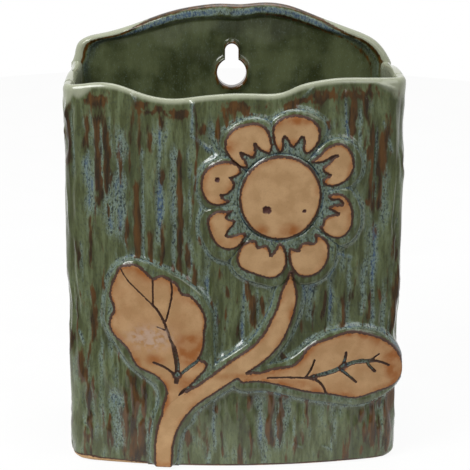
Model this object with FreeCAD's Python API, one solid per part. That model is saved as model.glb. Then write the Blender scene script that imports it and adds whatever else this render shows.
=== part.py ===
import FreeCAD, Part
import math
import os

# Hanging wall vase: a stoneware pocket built from slabs, with a flower of applied clay on its bowed front.
# The wall is the plane y = 0, the front faces -Y, and +X is on the right of someone facing the front.
# Everything is built standing on z = 0 and lowered at the end, which puts the origin at the centre of the
# keyhole's round hole, on the wall.

# Body
WIDTH = 165.0
SIDE_DEPTH = 75.0  # from the wall to the front corners
FRONT_BULGE = 11.0  # how far the front bows out between its corners
WALL = 6.0
BACK_WALL = 7.0
BASE_THICK = 7.0
CORNER_INSIDE_R = 3.0
FRONT_RETURN = 6.0  # how far the front slab runs back along each side, past its corner
BACK_EDGE_R = 2.6
FOOT_R = 1.5
LIP_ROUND_SHARE = 0.4  # of the wall

# Rims
FRONT_HEIGHT = 190.0  # lip at the middle of the front
LIP_SWING = 10.0  # the height of the lip's waves
BACK_HEIGHT = 220.8
ARCH = 26.0  # from the back slab's shoulders to its top

# Keyhole
HOLE_DROP = 36.0  # from the back slab's top to the hole's centre
HOLE_R = 7.5
SLOT_WIDTH = 6.8
SLOT_RISE = 11.6  # from the hole's centre to the centre of the slot's round end

# Bark grooves
GROOVE_WIDTH = 3.2
GROOVE_DEPTH = 0.8
GROOVE_FADE = 6.0

# Relief: glazed pads with round shoulders, and the bare faces that stand a little above them
PAD_LIFT = 2.7
FACE_LIFT = 3.4
PAD_ROUND = 2.0
SHOULDER = 4.2  # mean width of a pad's shoulder round its face
VEIN_DEPTH = 1.3
CORNER_WRAP = 4.0  # how far a leaf may reach back over the front corner

# Flower
FLOWER_X_SHARE = 0.26  # of the half width
FLOWER_RISE_SHARE = 0.74  # of the front's height
DISC_R = 19.2
DISC_SHOULDER = 0.9
RING_GAP = 0.7
FLOWER_REACH = 40.0
FLOWER_STRETCH = 1.055  # the flower is a little taller than it is wide
VALLEY_GAP = 0.3

# Stem and leaves
STEM_FOOT_SHARE = -0.43  # of the half width
STEM_FOOT_GAP = 0.5
STEM_WIDTH = 9.0
LEFT_LEAF_SPREAD = 33.0  # from the stem to the leaf's left edge
LEFT_LEAF_LENGTH = 68.5
RIGHT_LEAF_OVERHANG = 1.6  # past the vase's right side
RIGHT_LEAF_RISE = 20.0
VEIN_WIDTH = 1.8

# Worked out from the sizes above
HALF = WIDTH / 2
FRONT_R = (HALF**2 + FRONT_BULGE**2) / (2 * FRONT_BULGE)
ARC_Y = FRONT_R - SIDE_DEPTH - FRONT_BULGE
CORNER_R = CORNER_INSIDE_R + WALL
CORNER_X = HALF - CORNER_R
CORNER_Y = ARC_Y - math.sqrt((FRONT_R - CORNER_R) ** 2 - CORNER_X**2)
SEAM_Y = CORNER_Y + FRONT_RETURN
LIP_R = LIP_ROUND_SHARE * WALL
SHOULDER_HEIGHT = BACK_HEIGHT - ARCH
HOLE_HEIGHT = BACK_HEIGHT - HOLE_DROP
FLOWER_X = FLOWER_X_SHARE * HALF
FLOWER_HEIGHT = FLOWER_RISE_SHARE * FRONT_HEIGHT
STEM_FOOT_X = STEM_FOOT_SHARE * HALF
OVERRUN = WALL
RING_R = DISC_R + DISC_SHOULDER + RING_GAP
RELIEF_BACK_Y = CORNER_WRAP - SIDE_DEPTH
RELIEF_FRONT_Y = -SIDE_DEPTH - FRONT_BULGE - FACE_LIFT - OVERRUN
ARC_TOLERANCE = 0.18  # how near the relief outlines' arcs stay to their smooth lines
TOUCH = 1e-4

# Lip of the front slab: share of the half width, then height over its middle as a share of LIP_SWING
LIP_SHARES = [
    (-1.0, 0.25), (-0.93, 0.25), (-0.79, 0.41), (-0.65, 0.3), (-0.54, -0.02), (-0.42, -0.24),
    (-0.33, -0.26), (-0.21, -0.13), (-0.06, -0.01), (0.12, 0.0), (0.235, 0.0), (0.295, 0.12),
    (0.365, 0.37), (0.43, 0.51), (0.52, 0.62), (0.62, 0.67), (0.745, 0.64), (0.93, 0.57), (1.0, 0.57),
]
# Rims of the sides: share of the way from the seam back to the back slab, then height as on the lip
LEFT_RIM_SHARES = [(0.0, 0.25), (0.2, 0.29), (0.45, 0.24), (0.68, 0.08), (0.85, 0.05), (1.0, 0.15)]
RIGHT_RIM_SHARES = [(0.0, 0.57), (0.22, 0.55), (0.48, 0.42), (0.72, 0.2), (0.88, 0.08), (1.0, 0.1)]
# Arch of the back slab: share of the half width, then height over the shoulder as a share of ARCH
ARCH_SHARES = [
    (-1.0, -0.2), (-0.975, 0.0), (-0.96, 0.17), (-0.895, 0.32), (-0.8, 0.39), (-0.68, 0.49),
    (-0.56, 0.62), (-0.45, 0.75), (-0.33, 0.86), (-0.21, 0.93), (-0.07, 0.97), (0.06, 0.96),
    (0.17, 0.99), (0.25, 0.99), (0.37, 0.92), (0.48, 0.79), (0.6, 0.64), (0.71, 0.51),
    (0.815, 0.385), (0.9, 0.235), (0.965, 0.0), (1.0, -0.2),
]
# Grooves: share of the half width, low and high ends as shares of FRONT_HEIGHT, share of GROOVE_WIDTH
GROOVE_SHARES = [
    (-0.88, 0.05, 0.31, 0.8), (-0.87, 0.7, 0.9, 0.7), (-0.8, 0.73, 0.94, 1.0), (-0.745, 0.72, 0.95, 0.8),
    (-0.69, 0.06, 0.26, 0.9), (-0.64, 0.6, 0.92, 1.2), (-0.57, 0.58, 0.8, 0.9), (-0.6, 0.04, 0.25, 0.9),
    (-0.55, 0.04, 0.13, 0.8), (-0.42, 0.57, 0.93, 1.2), (-0.32, 0.53, 0.87, 1.0), (-0.16, 0.39, 0.48, 0.8),
    (-0.25, 0.05, 0.13, 0.9), (-0.11, 0.04, 0.17, 1.0), (0.02, 0.34, 0.49, 0.8), (0.1, 0.37, 0.48, 1.0),
    (0.165, 0.41, 0.48, 0.8), (0.09, 0.05, 0.21, 0.9), (0.22, 0.06, 0.2, 1.0), (0.28, 0.06, 0.19, 1.0),
    (0.42, 0.05, 0.13, 0.8), (0.56, 0.04, 0.13, 0.9), (0.42, 0.4, 0.49, 0.9), (0.53, 0.4, 0.51, 0.9),
    (0.64, 0.43, 0.56, 1.0), (0.8, 0.42, 0.68, 1.0), (0.68, 0.88, 1.0, 1.0), (0.85, 0.66, 0.91, 1.1),
    (0.78, 0.74, 0.93, 0.8), (0.84, 0.07, 0.15, 1.0),
]

# Flower: the valleys between the petals, in degrees, clockwise from the top
VALLEYS = [97.5, 52.5, 6.5, -40.0, -82.5, -129.5, -171.5, -217.5, -262.5]
# Petal faces: across share from one valley to the next, then share of the way from the ring to the reach.
# The first run goes round the outside, and the later runs cut the notches and tongues on the inner side.
PETAL_SHARES = {
    "petal_1": [
        [(0.07, 0.1), (0.01, 0.32), (0.03, 0.63), (0.2, 0.84), (0.45, 0.93), (0.69, 0.91), (0.88, 0.71),
         (0.93, 0.42), (0.87, 0.16)],
        [(0.77, 0.17), (0.7, 0.31), (0.59, 0.49)],
        [(0.56, 0.38), (0.47, 0.16)],
        [(0.34, 0.29), (0.24, 0.44)],
        [(0.21, 0.31), (0.21, 0.13), (0.15, 0.02)],
    ],
    "petal_2": [
        [(0.13, 0.28), (0.15, 0.58), (0.28, 0.88), (0.48, 0.94), (0.73, 0.83), (0.86, 0.57), (0.89, 0.2),
         (0.83, 0.08), (0.72, 0.04)],
        [(0.66, 0.17), (0.67, 0.3)],
        [(0.58, 0.21), (0.48, 0.15), (0.4, 0.2)],
        [(0.4, 0.36), (0.38, 0.54), (0.39, 0.68)],
        [(0.33, 0.5), (0.27, 0.22), (0.07, 0.06)],
    ],
    "petal_3": [
        [(0.09, 0.27), (0.12, 0.47), (0.33, 0.71), (0.56, 0.84), (0.81, 0.81), (0.95, 0.55), (0.96, 0.35),
         (0.92, 0.15)],
        [(0.82, 0.2), (0.73, 0.15), (0.62, 0.21), (0.5, 0.54)],
        [(0.46, 0.35), (0.42, 0.14)],
        [(0.34, 0.29), (0.31, 0.5)],
        [(0.27, 0.49)],
        [(0.21, 0.37), (0.19, 0.17), (0.13, 0.11)],
    ],
    "petal_4": [
        [(0.11, 0.27), (0.07, 0.41), (0.18, 0.75), (0.42, 0.98), (0.64, 1.02), (0.83, 0.9), (0.94, 0.54),
         (0.94, 0.32), (0.89, 0.17)],
        [(0.79, 0.26), (0.7, 0.33)],
        [(0.62, 0.22), (0.48, 0.21), (0.36, 0.32)],
        [(0.24, 0.35), (0.18, 0.25), (0.14, 0.16)],
    ],
    "petal_5": [
        [(0.11, 0.08), (0.05, 0.21), (0.07, 0.64), (0.25, 0.88), (0.52, 0.88), (0.81, 0.87), (0.95, 0.65),
         (0.94, 0.24), (0.84, 0.13)],
        [(0.79, 0.15), (0.7, 0.28)],
        [(0.62, 0.19), (0.49, 0.13)],
        [(0.41, 0.23), (0.36, 0.38)],
        [(0.25, 0.18), (0.19, 0.02)],
    ],
    "petal_6": [
        [(0.1, 0.19), (0.09, 0.59), (0.28, 0.82), (0.57, 0.84), (0.84, 0.75), (0.93, 0.53), (0.9, 0.3),
         (0.87, 0.1)],
        [(0.8, 0.3), (0.77, 0.37)],
        [(0.68, 0.3), (0.6, 0.16)],
        [(0.54, 0.23), (0.47, 0.41), (0.39, 0.55)],
        [(0.32, 0.44), (0.25, 0.29), (0.14, 0.12)],
    ],
    "petal_7": [
        [(0.08, 0.3), (0.11, 0.66), (0.35, 0.87), (0.58, 0.9), (0.83, 0.66), (0.97, 0.34), (0.95, 0.16),
         (0.88, 0.09)],
        [(0.75, 0.16), (0.65, 0.31)],
        [(0.61, 0.18), (0.52, 0.11), (0.39, 0.15), (0.27, 0.41)],
        [(0.18, 0.33), (0.12, 0.18)],
    ],
    "petal_8": [
        [(0.02, 0.18), (0.01, 0.43), (0.13, 0.81), (0.31, 0.93), (0.59, 0.89), (0.85, 0.7), (0.93, 0.37),
         (0.92, 0.15), (0.83, 0.04)],
        [(0.67, 0.16), (0.6, 0.42)],
        [(0.54, 0.29), (0.49, 0.17), (0.38, 0.12)],
        [(0.32, 0.24), (0.23, 0.44)],
        [(0.2, 0.29), (0.17, 0.14), (0.09, 0.02)],
    ],
}
PETAL_SHOULDER_SHARES = [1.0, 1.0, 1.05, 0.95, 1.0, 1.45, 0.8, 1.0]
PAD_START_SHARE = 0.2  # a petal's pad follows its face from here outwards
UNDER_DISC_SHARE = -0.5  # and closes under the disc
UNDER_DISC_ACROSS_SHARES = (0.95, 0.05)

# Stem: share of its reach to the right, share of its rise, share of STEM_WIDTH
STEM_SHARES = [
    (0.0, -0.06, 0.92), (0.0, 0.03, 0.94), (0.011, 0.133, 1.01), (0.032, 0.199, 1.04), (0.07, 0.262, 1.15),
    (0.12, 0.309, 1.15), (0.168, 0.338, 1.06), (0.238, 0.373, 0.92), (0.379, 0.432, 0.92),
    (0.528, 0.501, 0.98), (0.63, 0.543, 1.04), (0.718, 0.578, 1.04), (0.797, 0.623, 1.07),
    (0.87, 0.679, 1.08), (0.915, 0.74, 1.04), (0.952, 0.797, 0.94), (0.979, 0.858, 0.92),
    (0.987, 0.903, 0.77), (0.994, 0.94, 0.5), (1.0, 1.0, 0.15),
]
STEM_TIP_SHARES = (0.14, -0.92)  # from the flower's centre, as shares of its reach

# Left leaf: root on the stem, then its outline as shares of its spread to the left and of its length
LEFT_ROOT_SHARES = (0.115, 0.37)
LEFT_LEAF_SHARES = [
    [(0.0, 0.0)],
    [(0.1, 0.073), (0.233, 0.114), (0.352, 0.187), (0.436, 0.244), (0.427, 0.28), (0.352, 0.285),
     (0.276, 0.288)],
    [(0.352, 0.34), (0.394, 0.413), (0.403, 0.511), (0.424, 0.577), (0.394, 0.65), (0.285, 0.739),
     (0.2, 0.775), (0.133, 0.787), (0.082, 0.766)],
    [(0.042, 0.828), (-0.018, 0.872), (-0.103, 0.896), (-0.221, 0.921), (-0.288, 0.908), (-0.336, 0.888)],
    [(-0.406, 0.924), (-0.506, 0.969), (-0.591, 0.994), (-0.709, 0.991), (-0.821, 0.978), (-0.876, 0.924),
     (-0.964, 0.812), (-0.973, 0.746), (-0.942, 0.698), (-0.918, 0.641)],
    [(-0.961, 0.609), (-0.994, 0.568), (-0.985, 0.52), (-0.936, 0.47), (-0.758, 0.381), (-0.676, 0.324),
     (-0.591, 0.235), (-0.488, 0.203), (-0.355, 0.178), (-0.255, 0.139), (-0.179, 0.093), (-0.152, 0.032),
     (-0.185, -0.032), (-0.221, -0.12), (-0.16, -0.2), (0.1, -0.1)],
]
# The pads follow the leaves' outlines without their notches
LEFT_PAD_SHARES = [
    (0.1, 0.073), (0.352, 0.187), (0.425, 0.3), (0.41, 0.45), (0.415, 0.6), (0.32, 0.74), (0.15, 0.82),
    (-0.05, 0.89), (-0.28, 0.94), (-0.52, 0.985), (-0.76, 0.98), (-0.92, 0.87), (-0.965, 0.7), (-0.975, 0.53),
    (-0.8, 0.4), (-0.62, 0.27), (-0.4, 0.185), (-0.21, 0.1), (-0.17, -0.03), (-0.17, -0.2), (0.1, -0.15),
]
# Veins: width share first, then the points
LEFT_VEIN_SHARES = [
    (0.5, [(-0.83, 0.985), (-0.658, 0.85), (-0.485, 0.766), (-0.333, 0.693)]),
    (0.8, [(-0.34, 0.697), (-0.203, 0.599), (-0.127, 0.495), (-0.039, 0.391)]),
    (1.3, [(-0.05, 0.4), (-0.003, 0.286), (0.003, 0.166), (-0.018, 0.109)]),
    (0.5, [(-0.342, 0.7), (-0.345, 0.78), (-0.34, 0.9)]),
    (0.6, [(-0.16, 0.58), (-0.094, 0.704), (-0.07, 0.787), (-0.085, 0.9)]),
    (0.5, [(-0.3, 0.542), (-0.14, 0.51)]),
    (0.8, [(-0.367, 0.27), (-0.245, 0.25), (-0.115, 0.213), (0.0, 0.15)]),
    (0.8, [(0.0, 0.155), (0.121, 0.213), (0.3, 0.282)]),
]
LEFT_SEAM_SHARES = [
    (-0.6, -0.2), (-0.23, -0.105), (0.0, 0.0), (0.13, 0.063), (0.27, 0.107), (0.43, 0.167), (0.85, 0.33),
]

# Right leaf: root on the stem, then shares of its length to the right and of its rise
RIGHT_ROOT_SHARES = (0.71, 0.497)
RIGHT_LEAF_SHARES = [
    [(0.049, 0.015), (0.116, 0.09), (0.199, 0.14), (0.266, 0.185), (0.323, 0.405), (0.373, 0.655),
     (0.481, 0.81), (0.614, 0.98), (0.764, 0.875), (0.887, 0.655), (0.967, 0.31), (1.0, -0.19),
     (0.963, -0.455), (0.83, -0.645), (0.697, -0.77), (0.531, -0.645), (0.365, -0.535), (0.199, -0.345),
     (0.033, -0.22), (-0.07, -0.25)],
    [(-0.12, 0.0)],
    [(0.0, 0.0)],
]
RIGHT_PAD_SHARES = [
    (-0.1, 0.0), (0.0, 0.05), (0.1, 0.09), (0.2, 0.15), (0.3, 0.36), (0.42, 0.72), (0.54, 0.9), (0.66, 0.94),
    (0.77, 0.84), (0.86, 0.63), (0.92, 0.25), (0.935, -0.18), (0.89, -0.47), (0.79, -0.68), (0.66, -0.76),
    (0.5, -0.64), (0.33, -0.5), (0.18, -0.33), (0.03, -0.24), (-0.07, -0.25),
]
RIGHT_VEIN_SHARES = [
    (0.6, [(0.09, -0.13), (0.215, -0.125), (0.307, -0.145), (0.381, -0.17)]),
    (1.2, [(0.37, -0.165), (0.448, -0.095), (0.564, 0.03), (0.655, 0.17), (0.738, 0.185), (0.805, 0.18)]),
    (0.7, [(0.79, 0.18), (0.863, 0.105), (0.91, 0.0)]),
    (0.8, [(0.59, 0.1), (0.606, 0.28), (0.612, 0.48)]),
    (0.6, [(0.775, 0.19), (0.84, 0.36)]),
    (0.7, [(0.75, 0.17), (0.77, 0.06), (0.817, -0.13)]),
    (0.6, [(0.575, 0.02), (0.639, -0.19), (0.69, -0.37)]),
    (0.7, [(0.38, -0.16), (0.448, -0.315), (0.485, -0.64)]),
    (0.6, [(0.345, -0.15), (0.381, 0.06), (0.405, 0.33)]),
]
RIGHT_SEAM_SHARES = [(-0.09, -1.7), (-0.05, -0.22), (0.0, 0.0), (0.065, 0.15), (0.18, 0.4), (0.42, 1.4)]

# How a pad's shoulder widens downwards and to the right, as a share of SHOULDER
SHOULDER_LEAN_SHARE = 0.35
LEAN_DIRECTION = (0.5, -0.87)
STEM_SHOULDER_SHARE = 0.8

Vector = FreeCAD.Vector


def smooth_curve(points, closed=False):
    curve = Part.BSplineCurve()
    curve.interpolate(Points=points, PeriodicFlag=closed)
    return curve


def arcs(points, closed=False):
    """A smooth line through the points, as arcs that run into each other."""
    return [arc.toShape() for arc in smooth_curve(points, closed).toBiArcs(ARC_TOLERANCE)]


def closed_wire(edges):
    return Part.Wire(Part.sortEdges(edges)[0])


def line(start, end):
    return Part.LineSegment(start, end).toShape()


def polygon(points):
    return Part.makePolygon(points + points[:1])


def prism(wire, direction):
    return Part.Face(wire).extrude(direction)


def edges_where(shape, wanted):
    return [edge for edge in shape.Edges if wanted(edge.BoundBox)]


def plan_arcs(inset):
    """Front outline in plan, from the right side round to the left, set in from the outside of the walls."""
    side_x = HALF - inset
    corner_r = CORNER_R - inset
    front_r = FRONT_R - inset
    turn = math.atan2(CORNER_X, ARC_Y - CORNER_Y)
    half_turn = (turn + math.pi / 2) / 2
    edges = []
    marks = []
    for side in (1, -1):
        start = Vector(side * side_x, CORNER_Y, 0)
        middle = Vector(
            side * (CORNER_X + corner_r * math.sin(half_turn)), CORNER_Y - corner_r * math.cos(half_turn), 0
        )
        end = Vector(side * front_r * math.sin(turn), ARC_Y - front_r * math.cos(turn), 0)
        marks.append((start, end))
        edges.append(Part.Arc(start, middle, end).toShape())
    front = Part.Arc(marks[0][1], Vector(0, ARC_Y - front_r, 0), marks[1][1]).toShape()
    return [edges[0], front, edges[1]], marks[0][0], marks[1][0]


def closed_plan(inset, back_y):
    """The whole outline in plan, closed by a straight line across at back_y."""
    arcs, right, left = plan_arcs(inset)
    back_right = Vector(right.x, back_y, 0)
    back_left = Vector(left.x, back_y, 0)
    return Part.Wire([line(back_right, right)] + arcs + [line(left, back_left), line(back_left, back_right)])


def lip_height(share):
    return FRONT_HEIGHT + share * LIP_SWING


def under_line(points, direction):
    """Everything below a wavy line of points that share one upright plane."""
    first, last = points[0], points[-1]
    low_first = Vector(first.x, first.y, 0)
    low_last = Vector(last.x, last.y, 0)
    top = smooth_curve(points).toShape()
    wire = Part.Wire([top, line(last, low_last), line(low_last, low_first), line(low_first, first)])
    return prism(wire, direction)


def on_outer_foot(box):
    """True for the edges that run round the outside of the front slab's foot."""
    beside = max(-box.XMin, box.XMax) > HALF - WALL + TOUCH
    in_front = box.YMin < WALL - SIDE_DEPTH - FRONT_BULGE - TOUCH
    return (beside or in_front) and box.ZMax < TOUCH and box.YLength > TOUCH


def make_front_slab():
    outer, right, left = plan_arcs(0)
    inner, inner_right, inner_left = plan_arcs(WALL)
    seam = [Vector(p.x, SEAM_Y, 0) for p in (right, left, inner_left, inner_right)]
    outside = [line(seam[0], right)] + outer + [line(left, seam[1]), line(seam[1], seam[2])]
    inside = [line(seam[2], inner_left)] + inner[::-1] + [line(inner_right, seam[3]), line(seam[3], seam[0])]
    slab = prism(Part.Wire(outside + inside), Vector(0, 0, BACK_HEIGHT))
    lip = [Vector(x * HALF, 0, lip_height(z)) for x, z in LIP_SHARES]
    slab = slab.common(under_line(lip, Vector(0, RELIEF_FRONT_Y, 0)))
    lip_floor = FRONT_HEIGHT - LIP_SWING
    lip_edges = edges_where(slab, lambda box: box.ZMin > lip_floor and box.YLength > TOUCH)
    slab = slab.makeFillet(LIP_R, lip_edges)
    slab = slab.makeFillet(FOOT_R, edges_where(slab, on_outer_foot))
    return slab.cut([groove(*row) for row in GROOVE_SHARES])


def groove(x_share, low_share, high_share, width_share):
    """A spindle that cuts one upright bark groove and fades out at both ends."""
    width = width_share * GROOVE_WIDTH
    radius = (width**2 / 4 + GROOVE_DEPTH**2) / (2 * GROOVE_DEPTH)
    waist = radius - GROOVE_DEPTH
    low = low_share * FRONT_HEIGHT
    high = high_share * FRONT_HEIGHT
    fade = min(GROOVE_FADE, (high - low) / 3)
    turn = math.asin(x_share * HALF / FRONT_R)
    reach = FRONT_R + waist
    middle = Vector(reach * math.sin(turn), ARC_Y - reach * math.cos(turn), 0)
    profile = [(0, low), (waist, low), (radius, low + fade), (radius, high - fade), (waist, high), (0, high)]
    points = [middle + Vector(across, 0, height) for across, height in profile]
    return Part.Face(polygon(points)).revolve(middle, Vector(0, 0, 1), 360)


def make_side_slab(side, rim_shares):
    """One side, between the front slab's return and the back slab."""
    depth = -BACK_WALL - SEAM_Y
    outer_x = side * HALF
    rim = [Vector(outer_x, SEAM_Y + share * depth, lip_height(rise)) for share, rise in rim_shares]
    slab = under_line(rim, Vector(-side * WALL, 0, 0))
    rim_floor = FRONT_HEIGHT - LIP_SWING
    rim_edges = edges_where(slab, lambda box: box.ZMin > rim_floor and box.YLength > TOUCH)
    slab = slab.makeFillet(LIP_R, rim_edges)
    return slab.makeFillet(FOOT_R, edges_where(slab, on_outer_foot))


def make_back_slab():
    arch = [Vector(x * HALF, 0, SHOULDER_HEIGHT + z * ARCH) for x, z in ARCH_SHARES]
    slab = under_line(arch, Vector(0, -BACK_WALL, 0))
    wall_edges = edges_where(slab, lambda box: box.YMin > -TOUCH and box.ZMax > TOUCH)
    arch_edges = edges_where(
        slab, lambda box: box.YMax < TOUCH - BACK_WALL and box.ZMax > SHOULDER_HEIGHT and box.XLength > TOUCH
    )
    slab = slab.makeFillet(BACK_EDGE_R, wall_edges + arch_edges)
    start = Vector(0, OVERRUN, HOLE_HEIGHT)
    through = Vector(0, -BACK_WALL - 2 * OVERRUN, 0)
    hole = Part.makeCylinder(HOLE_R, through.Length, start, through)
    slot_end = Part.makeCylinder(SLOT_WIDTH / 2, through.Length, start + Vector(0, 0, SLOT_RISE), through)
    slot_corner = start + Vector(-SLOT_WIDTH / 2, through.y, 0)
    slot = Part.makeBox(SLOT_WIDTH, through.Length, SLOT_RISE, slot_corner)
    return slab.cut([hole, slot, slot_end])


def make_base_slab():
    return prism(closed_plan(WALL, -BACK_WALL), Vector(0, 0, BASE_THICK))


def upright(x, z):
    """A point of a relief outline, on the plane that every relief block starts from."""
    return Vector(x, RELIEF_BACK_Y, z)


def outline(runs):
    """A closed outline of smooth runs that meet at corners. Each run starts where the last one ended."""
    edges = []
    start = runs[-1][-1]
    for run in runs:
        points = [start] + run
        edges += [line(*points)] if len(points) == 2 else arcs(points)
        start = points[-1]
    return closed_wire(edges)


def spread_out(points, width):
    """A smooth outline round the points, each moved outwards by a shoulder that leans down and right."""
    area = sum(a.x * b.z - b.x * a.z for a, b in zip(points, points[1:] + points[:1]))
    sense = 1 if area > 0 else -1
    moved = []
    for index, point in enumerate(points):
        along = points[(index + 1) % len(points)] - points[index - 1]
        out = Vector(sense * along.z, 0, -sense * along.x).normalize()
        lean = out.x * LEAN_DIRECTION[0] + out.z * LEAN_DIRECTION[1]
        moved.append(point + out * width * (1 + SHOULDER_LEAN_SHARE * lean))
    return closed_wire(arcs(moved, closed=True))


def relief_block(wire, lift):
    """An outline pushed forward to a rounded front, lift outside the front slab."""
    drum_low = Vector(0, ARC_Y, -OVERRUN)
    drum = Part.makeCylinder(FRONT_R + lift, BACK_HEIGHT + 2 * OVERRUN, drum_low)
    block = prism(wire, Vector(0, RELIEF_FRONT_Y - RELIEF_BACK_Y, 0))
    return block.common(drum)


def body_block():
    """The solid outside shape of the front and sides, which every relief piece sits on."""
    block = prism(closed_plan(0, 0), Vector(0, 0, BACK_HEIGHT + 2 * OVERRUN))
    block.translate(Vector(0, 0, -OVERRUN))
    return block


def make_pad(wire, body, lift=PAD_LIFT, rounding=PAD_ROUND):
    pad = relief_block(wire, lift).cut(body)
    drums = [face for face in pad.Faces if face.Surface.TypeId == "Part::GeomCylinder"]
    top = [face for face in drums if abs(face.Surface.Radius - FRONT_R - lift) < TOUCH]
    return pad.makeFillet(rounding, [edge for face in top for edge in face.Edges])


def make_face(wire, body):
    return relief_block(wire, FACE_LIFT).cut(body)


def flower_point(angle, radius):
    across = radius * math.cos(math.radians(angle))
    rise = FLOWER_STRETCH * radius * math.sin(math.radians(angle))
    return upright(FLOWER_X + across, FLOWER_HEIGHT + rise)


def flower_ring(radius, count=12):
    return closed_wire(arcs([flower_point(360 * step / count, radius) for step in range(count)], closed=True))


def petal_point(index, across, out):
    angle = VALLEYS[index] + across * (VALLEYS[index + 1] - VALLEYS[index])
    return flower_point(angle, RING_R + out * (FLOWER_REACH - RING_R))


def petal_wedge(index):
    """The sector between two valleys, narrower by half the gap on each side."""
    first, last = VALLEYS[index], VALLEYS[index + 1]
    middle = (first + last) / 2
    apex = VALLEY_GAP / 2 / math.sin(math.radians(first - last) / 2)
    centre = flower_point(middle, 0)
    shift = flower_point(middle, apex) - centre
    far = [flower_point(angle, 2 * FLOWER_REACH) for angle in (first, middle, last)]
    return polygon([corner + shift for corner in [centre] + far])


def make_petal(index, runs, shoulder_share, body):
    placed = [[petal_point(index, across, out) for across, out in run] for run in runs]
    outside = [petal_point(index, across, out) for across, out in runs[0] if out > PAD_START_SHARE]
    under_disc = [petal_point(index, across, UNDER_DISC_SHARE) for across in UNDER_DISC_ACROSS_SHARES]
    pad = make_pad(spread_out(outside + under_disc, shoulder_share * SHOULDER), body)
    face = make_face(outline(placed), body)
    wedge = relief_block(petal_wedge(index), FACE_LIFT + OVERRUN)
    ring = relief_block(flower_ring(RING_R), FACE_LIFT + OVERRUN)
    return pad.fuse(face).common(wedge).cut(ring)


def make_flower_centre(body):
    pad = make_pad(flower_ring(DISC_R + DISC_SHOULDER), body, PAD_LIFT, DISC_SHOULDER / 2)
    return pad.fuse(make_face(flower_ring(DISC_R), body))


def ribbon(points, widths):
    """An outline that follows a line of points with the width of each."""
    left, right = [], []
    for index, (point, width) in enumerate(zip(points, widths)):
        along = points[min(index + 1, len(points) - 1)] - points[max(index - 1, 0)]
        across = Vector(-along.z, 0, along.x).normalize() * width / 2
        left.append(point + across)
        right.append(point - across)
    return closed_wire(arcs(left) + [line(left[-1], right[-1])] + arcs(right) + [line(right[0], left[0])])


def stem_point(reach_share, rise_share):
    tip_x = FLOWER_X + STEM_TIP_SHARES[0] * FLOWER_REACH
    tip_z = FLOWER_HEIGHT + STEM_TIP_SHARES[1] * FLOWER_REACH
    return upright(STEM_FOOT_X + reach_share * (tip_x - STEM_FOOT_X), rise_share * tip_z)


def left_leaf_point(across, along):
    root = stem_point(*LEFT_ROOT_SHARES)
    return root + Vector(across * LEFT_LEAF_SPREAD, 0, along * LEFT_LEAF_LENGTH)


def right_leaf_point(along, rise):
    root = stem_point(*RIGHT_ROOT_SHARES)
    length = HALF + RIGHT_LEAF_OVERHANG - root.x
    return root + Vector(along * length, 0, rise * RIGHT_LEAF_RISE)


def make_stem(body):
    points = [stem_point(reach, rise) for reach, rise, _ in STEM_SHARES]
    widths = [share * STEM_WIDTH for _, _, share in STEM_SHARES]
    shoulders = 2 * STEM_SHOULDER_SHARE * SHOULDER
    pad = make_pad(ribbon(points, [width + shoulders for width in widths]), body)
    return pad.fuse(make_face(ribbon(points, widths), body))


def make_leaf(runs, pad_shares, veins, place, body):
    placed = [[place(*share) for share in run] for run in runs]
    pad = make_pad(spread_out([place(*share) for share in pad_shares], SHOULDER), body)
    leaf = pad.fuse(make_face(outline(placed), body))
    floor = relief_block(polygon(leaf_frame(placed)), FACE_LIFT - VEIN_DEPTH)
    for width_share, points in veins:
        path = [place(*share) for share in points]
        wire = ribbon(path, [width_share * VEIN_WIDTH] * len(path))
        leaf = leaf.cut(relief_block(wire, FACE_LIFT + OVERRUN).cut(floor))
    return leaf


def leaf_frame(runs):
    """The corners of a box round a leaf, wide enough for every vein."""
    points = [point for run in runs for point in run]
    low_x = min(point.x for point in points) - OVERRUN
    high_x = max(point.x for point in points) + OVERRUN
    low_z = min(point.z for point in points) - OVERRUN
    high_z = max(point.z for point in points) + OVERRUN
    return [upright(low_x, low_z), upright(high_x, low_z), upright(high_x, high_z), upright(low_x, high_z)]


def make_plant(petals, body):
    """The stem and both leaves, joined flush and parted again along the clay seams."""
    stem = make_stem(body)
    left = make_leaf(LEFT_LEAF_SHARES, LEFT_PAD_SHARES, LEFT_VEIN_SHARES, left_leaf_point, body)
    right = make_leaf(RIGHT_LEAF_SHARES, RIGHT_PAD_SHARES, RIGHT_VEIN_SHARES, right_leaf_point, body)
    foot_corner = Vector(-WIDTH, RELIEF_FRONT_Y, STEM_FOOT_GAP)
    above_foot = Part.makeBox(2 * WIDTH, -RELIEF_FRONT_Y, HOLE_HEIGHT, foot_corner)
    plant = stem.fuse([left, right]).common(above_foot).cut(petals)
    left_seam = [left_leaf_point(*share) for share in LEFT_SEAM_SHARES]
    high, low = left_seam[-1], left_seam[0]
    far_x = low.x - LEFT_LEAF_SPREAD
    past_leaf = [upright(high.x, HOLE_HEIGHT), upright(far_x, HOLE_HEIGHT), upright(far_x, low.z)]
    left_zone = polygon(left_seam + past_leaf)
    right_seam = [right_leaf_point(*share) for share in RIGHT_SEAM_SHARES]
    high, low = right_seam[-1], right_seam[0]
    right_zone = polygon(right_seam + [upright(WIDTH, high.z), upright(WIDTH, low.z)])
    zones = [relief_block(zone, FACE_LIFT + OVERRUN) for zone in (left_zone, right_zone)]
    return plant.cut(zones), plant.common(zones[0]), plant.common(zones[1])


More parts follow.
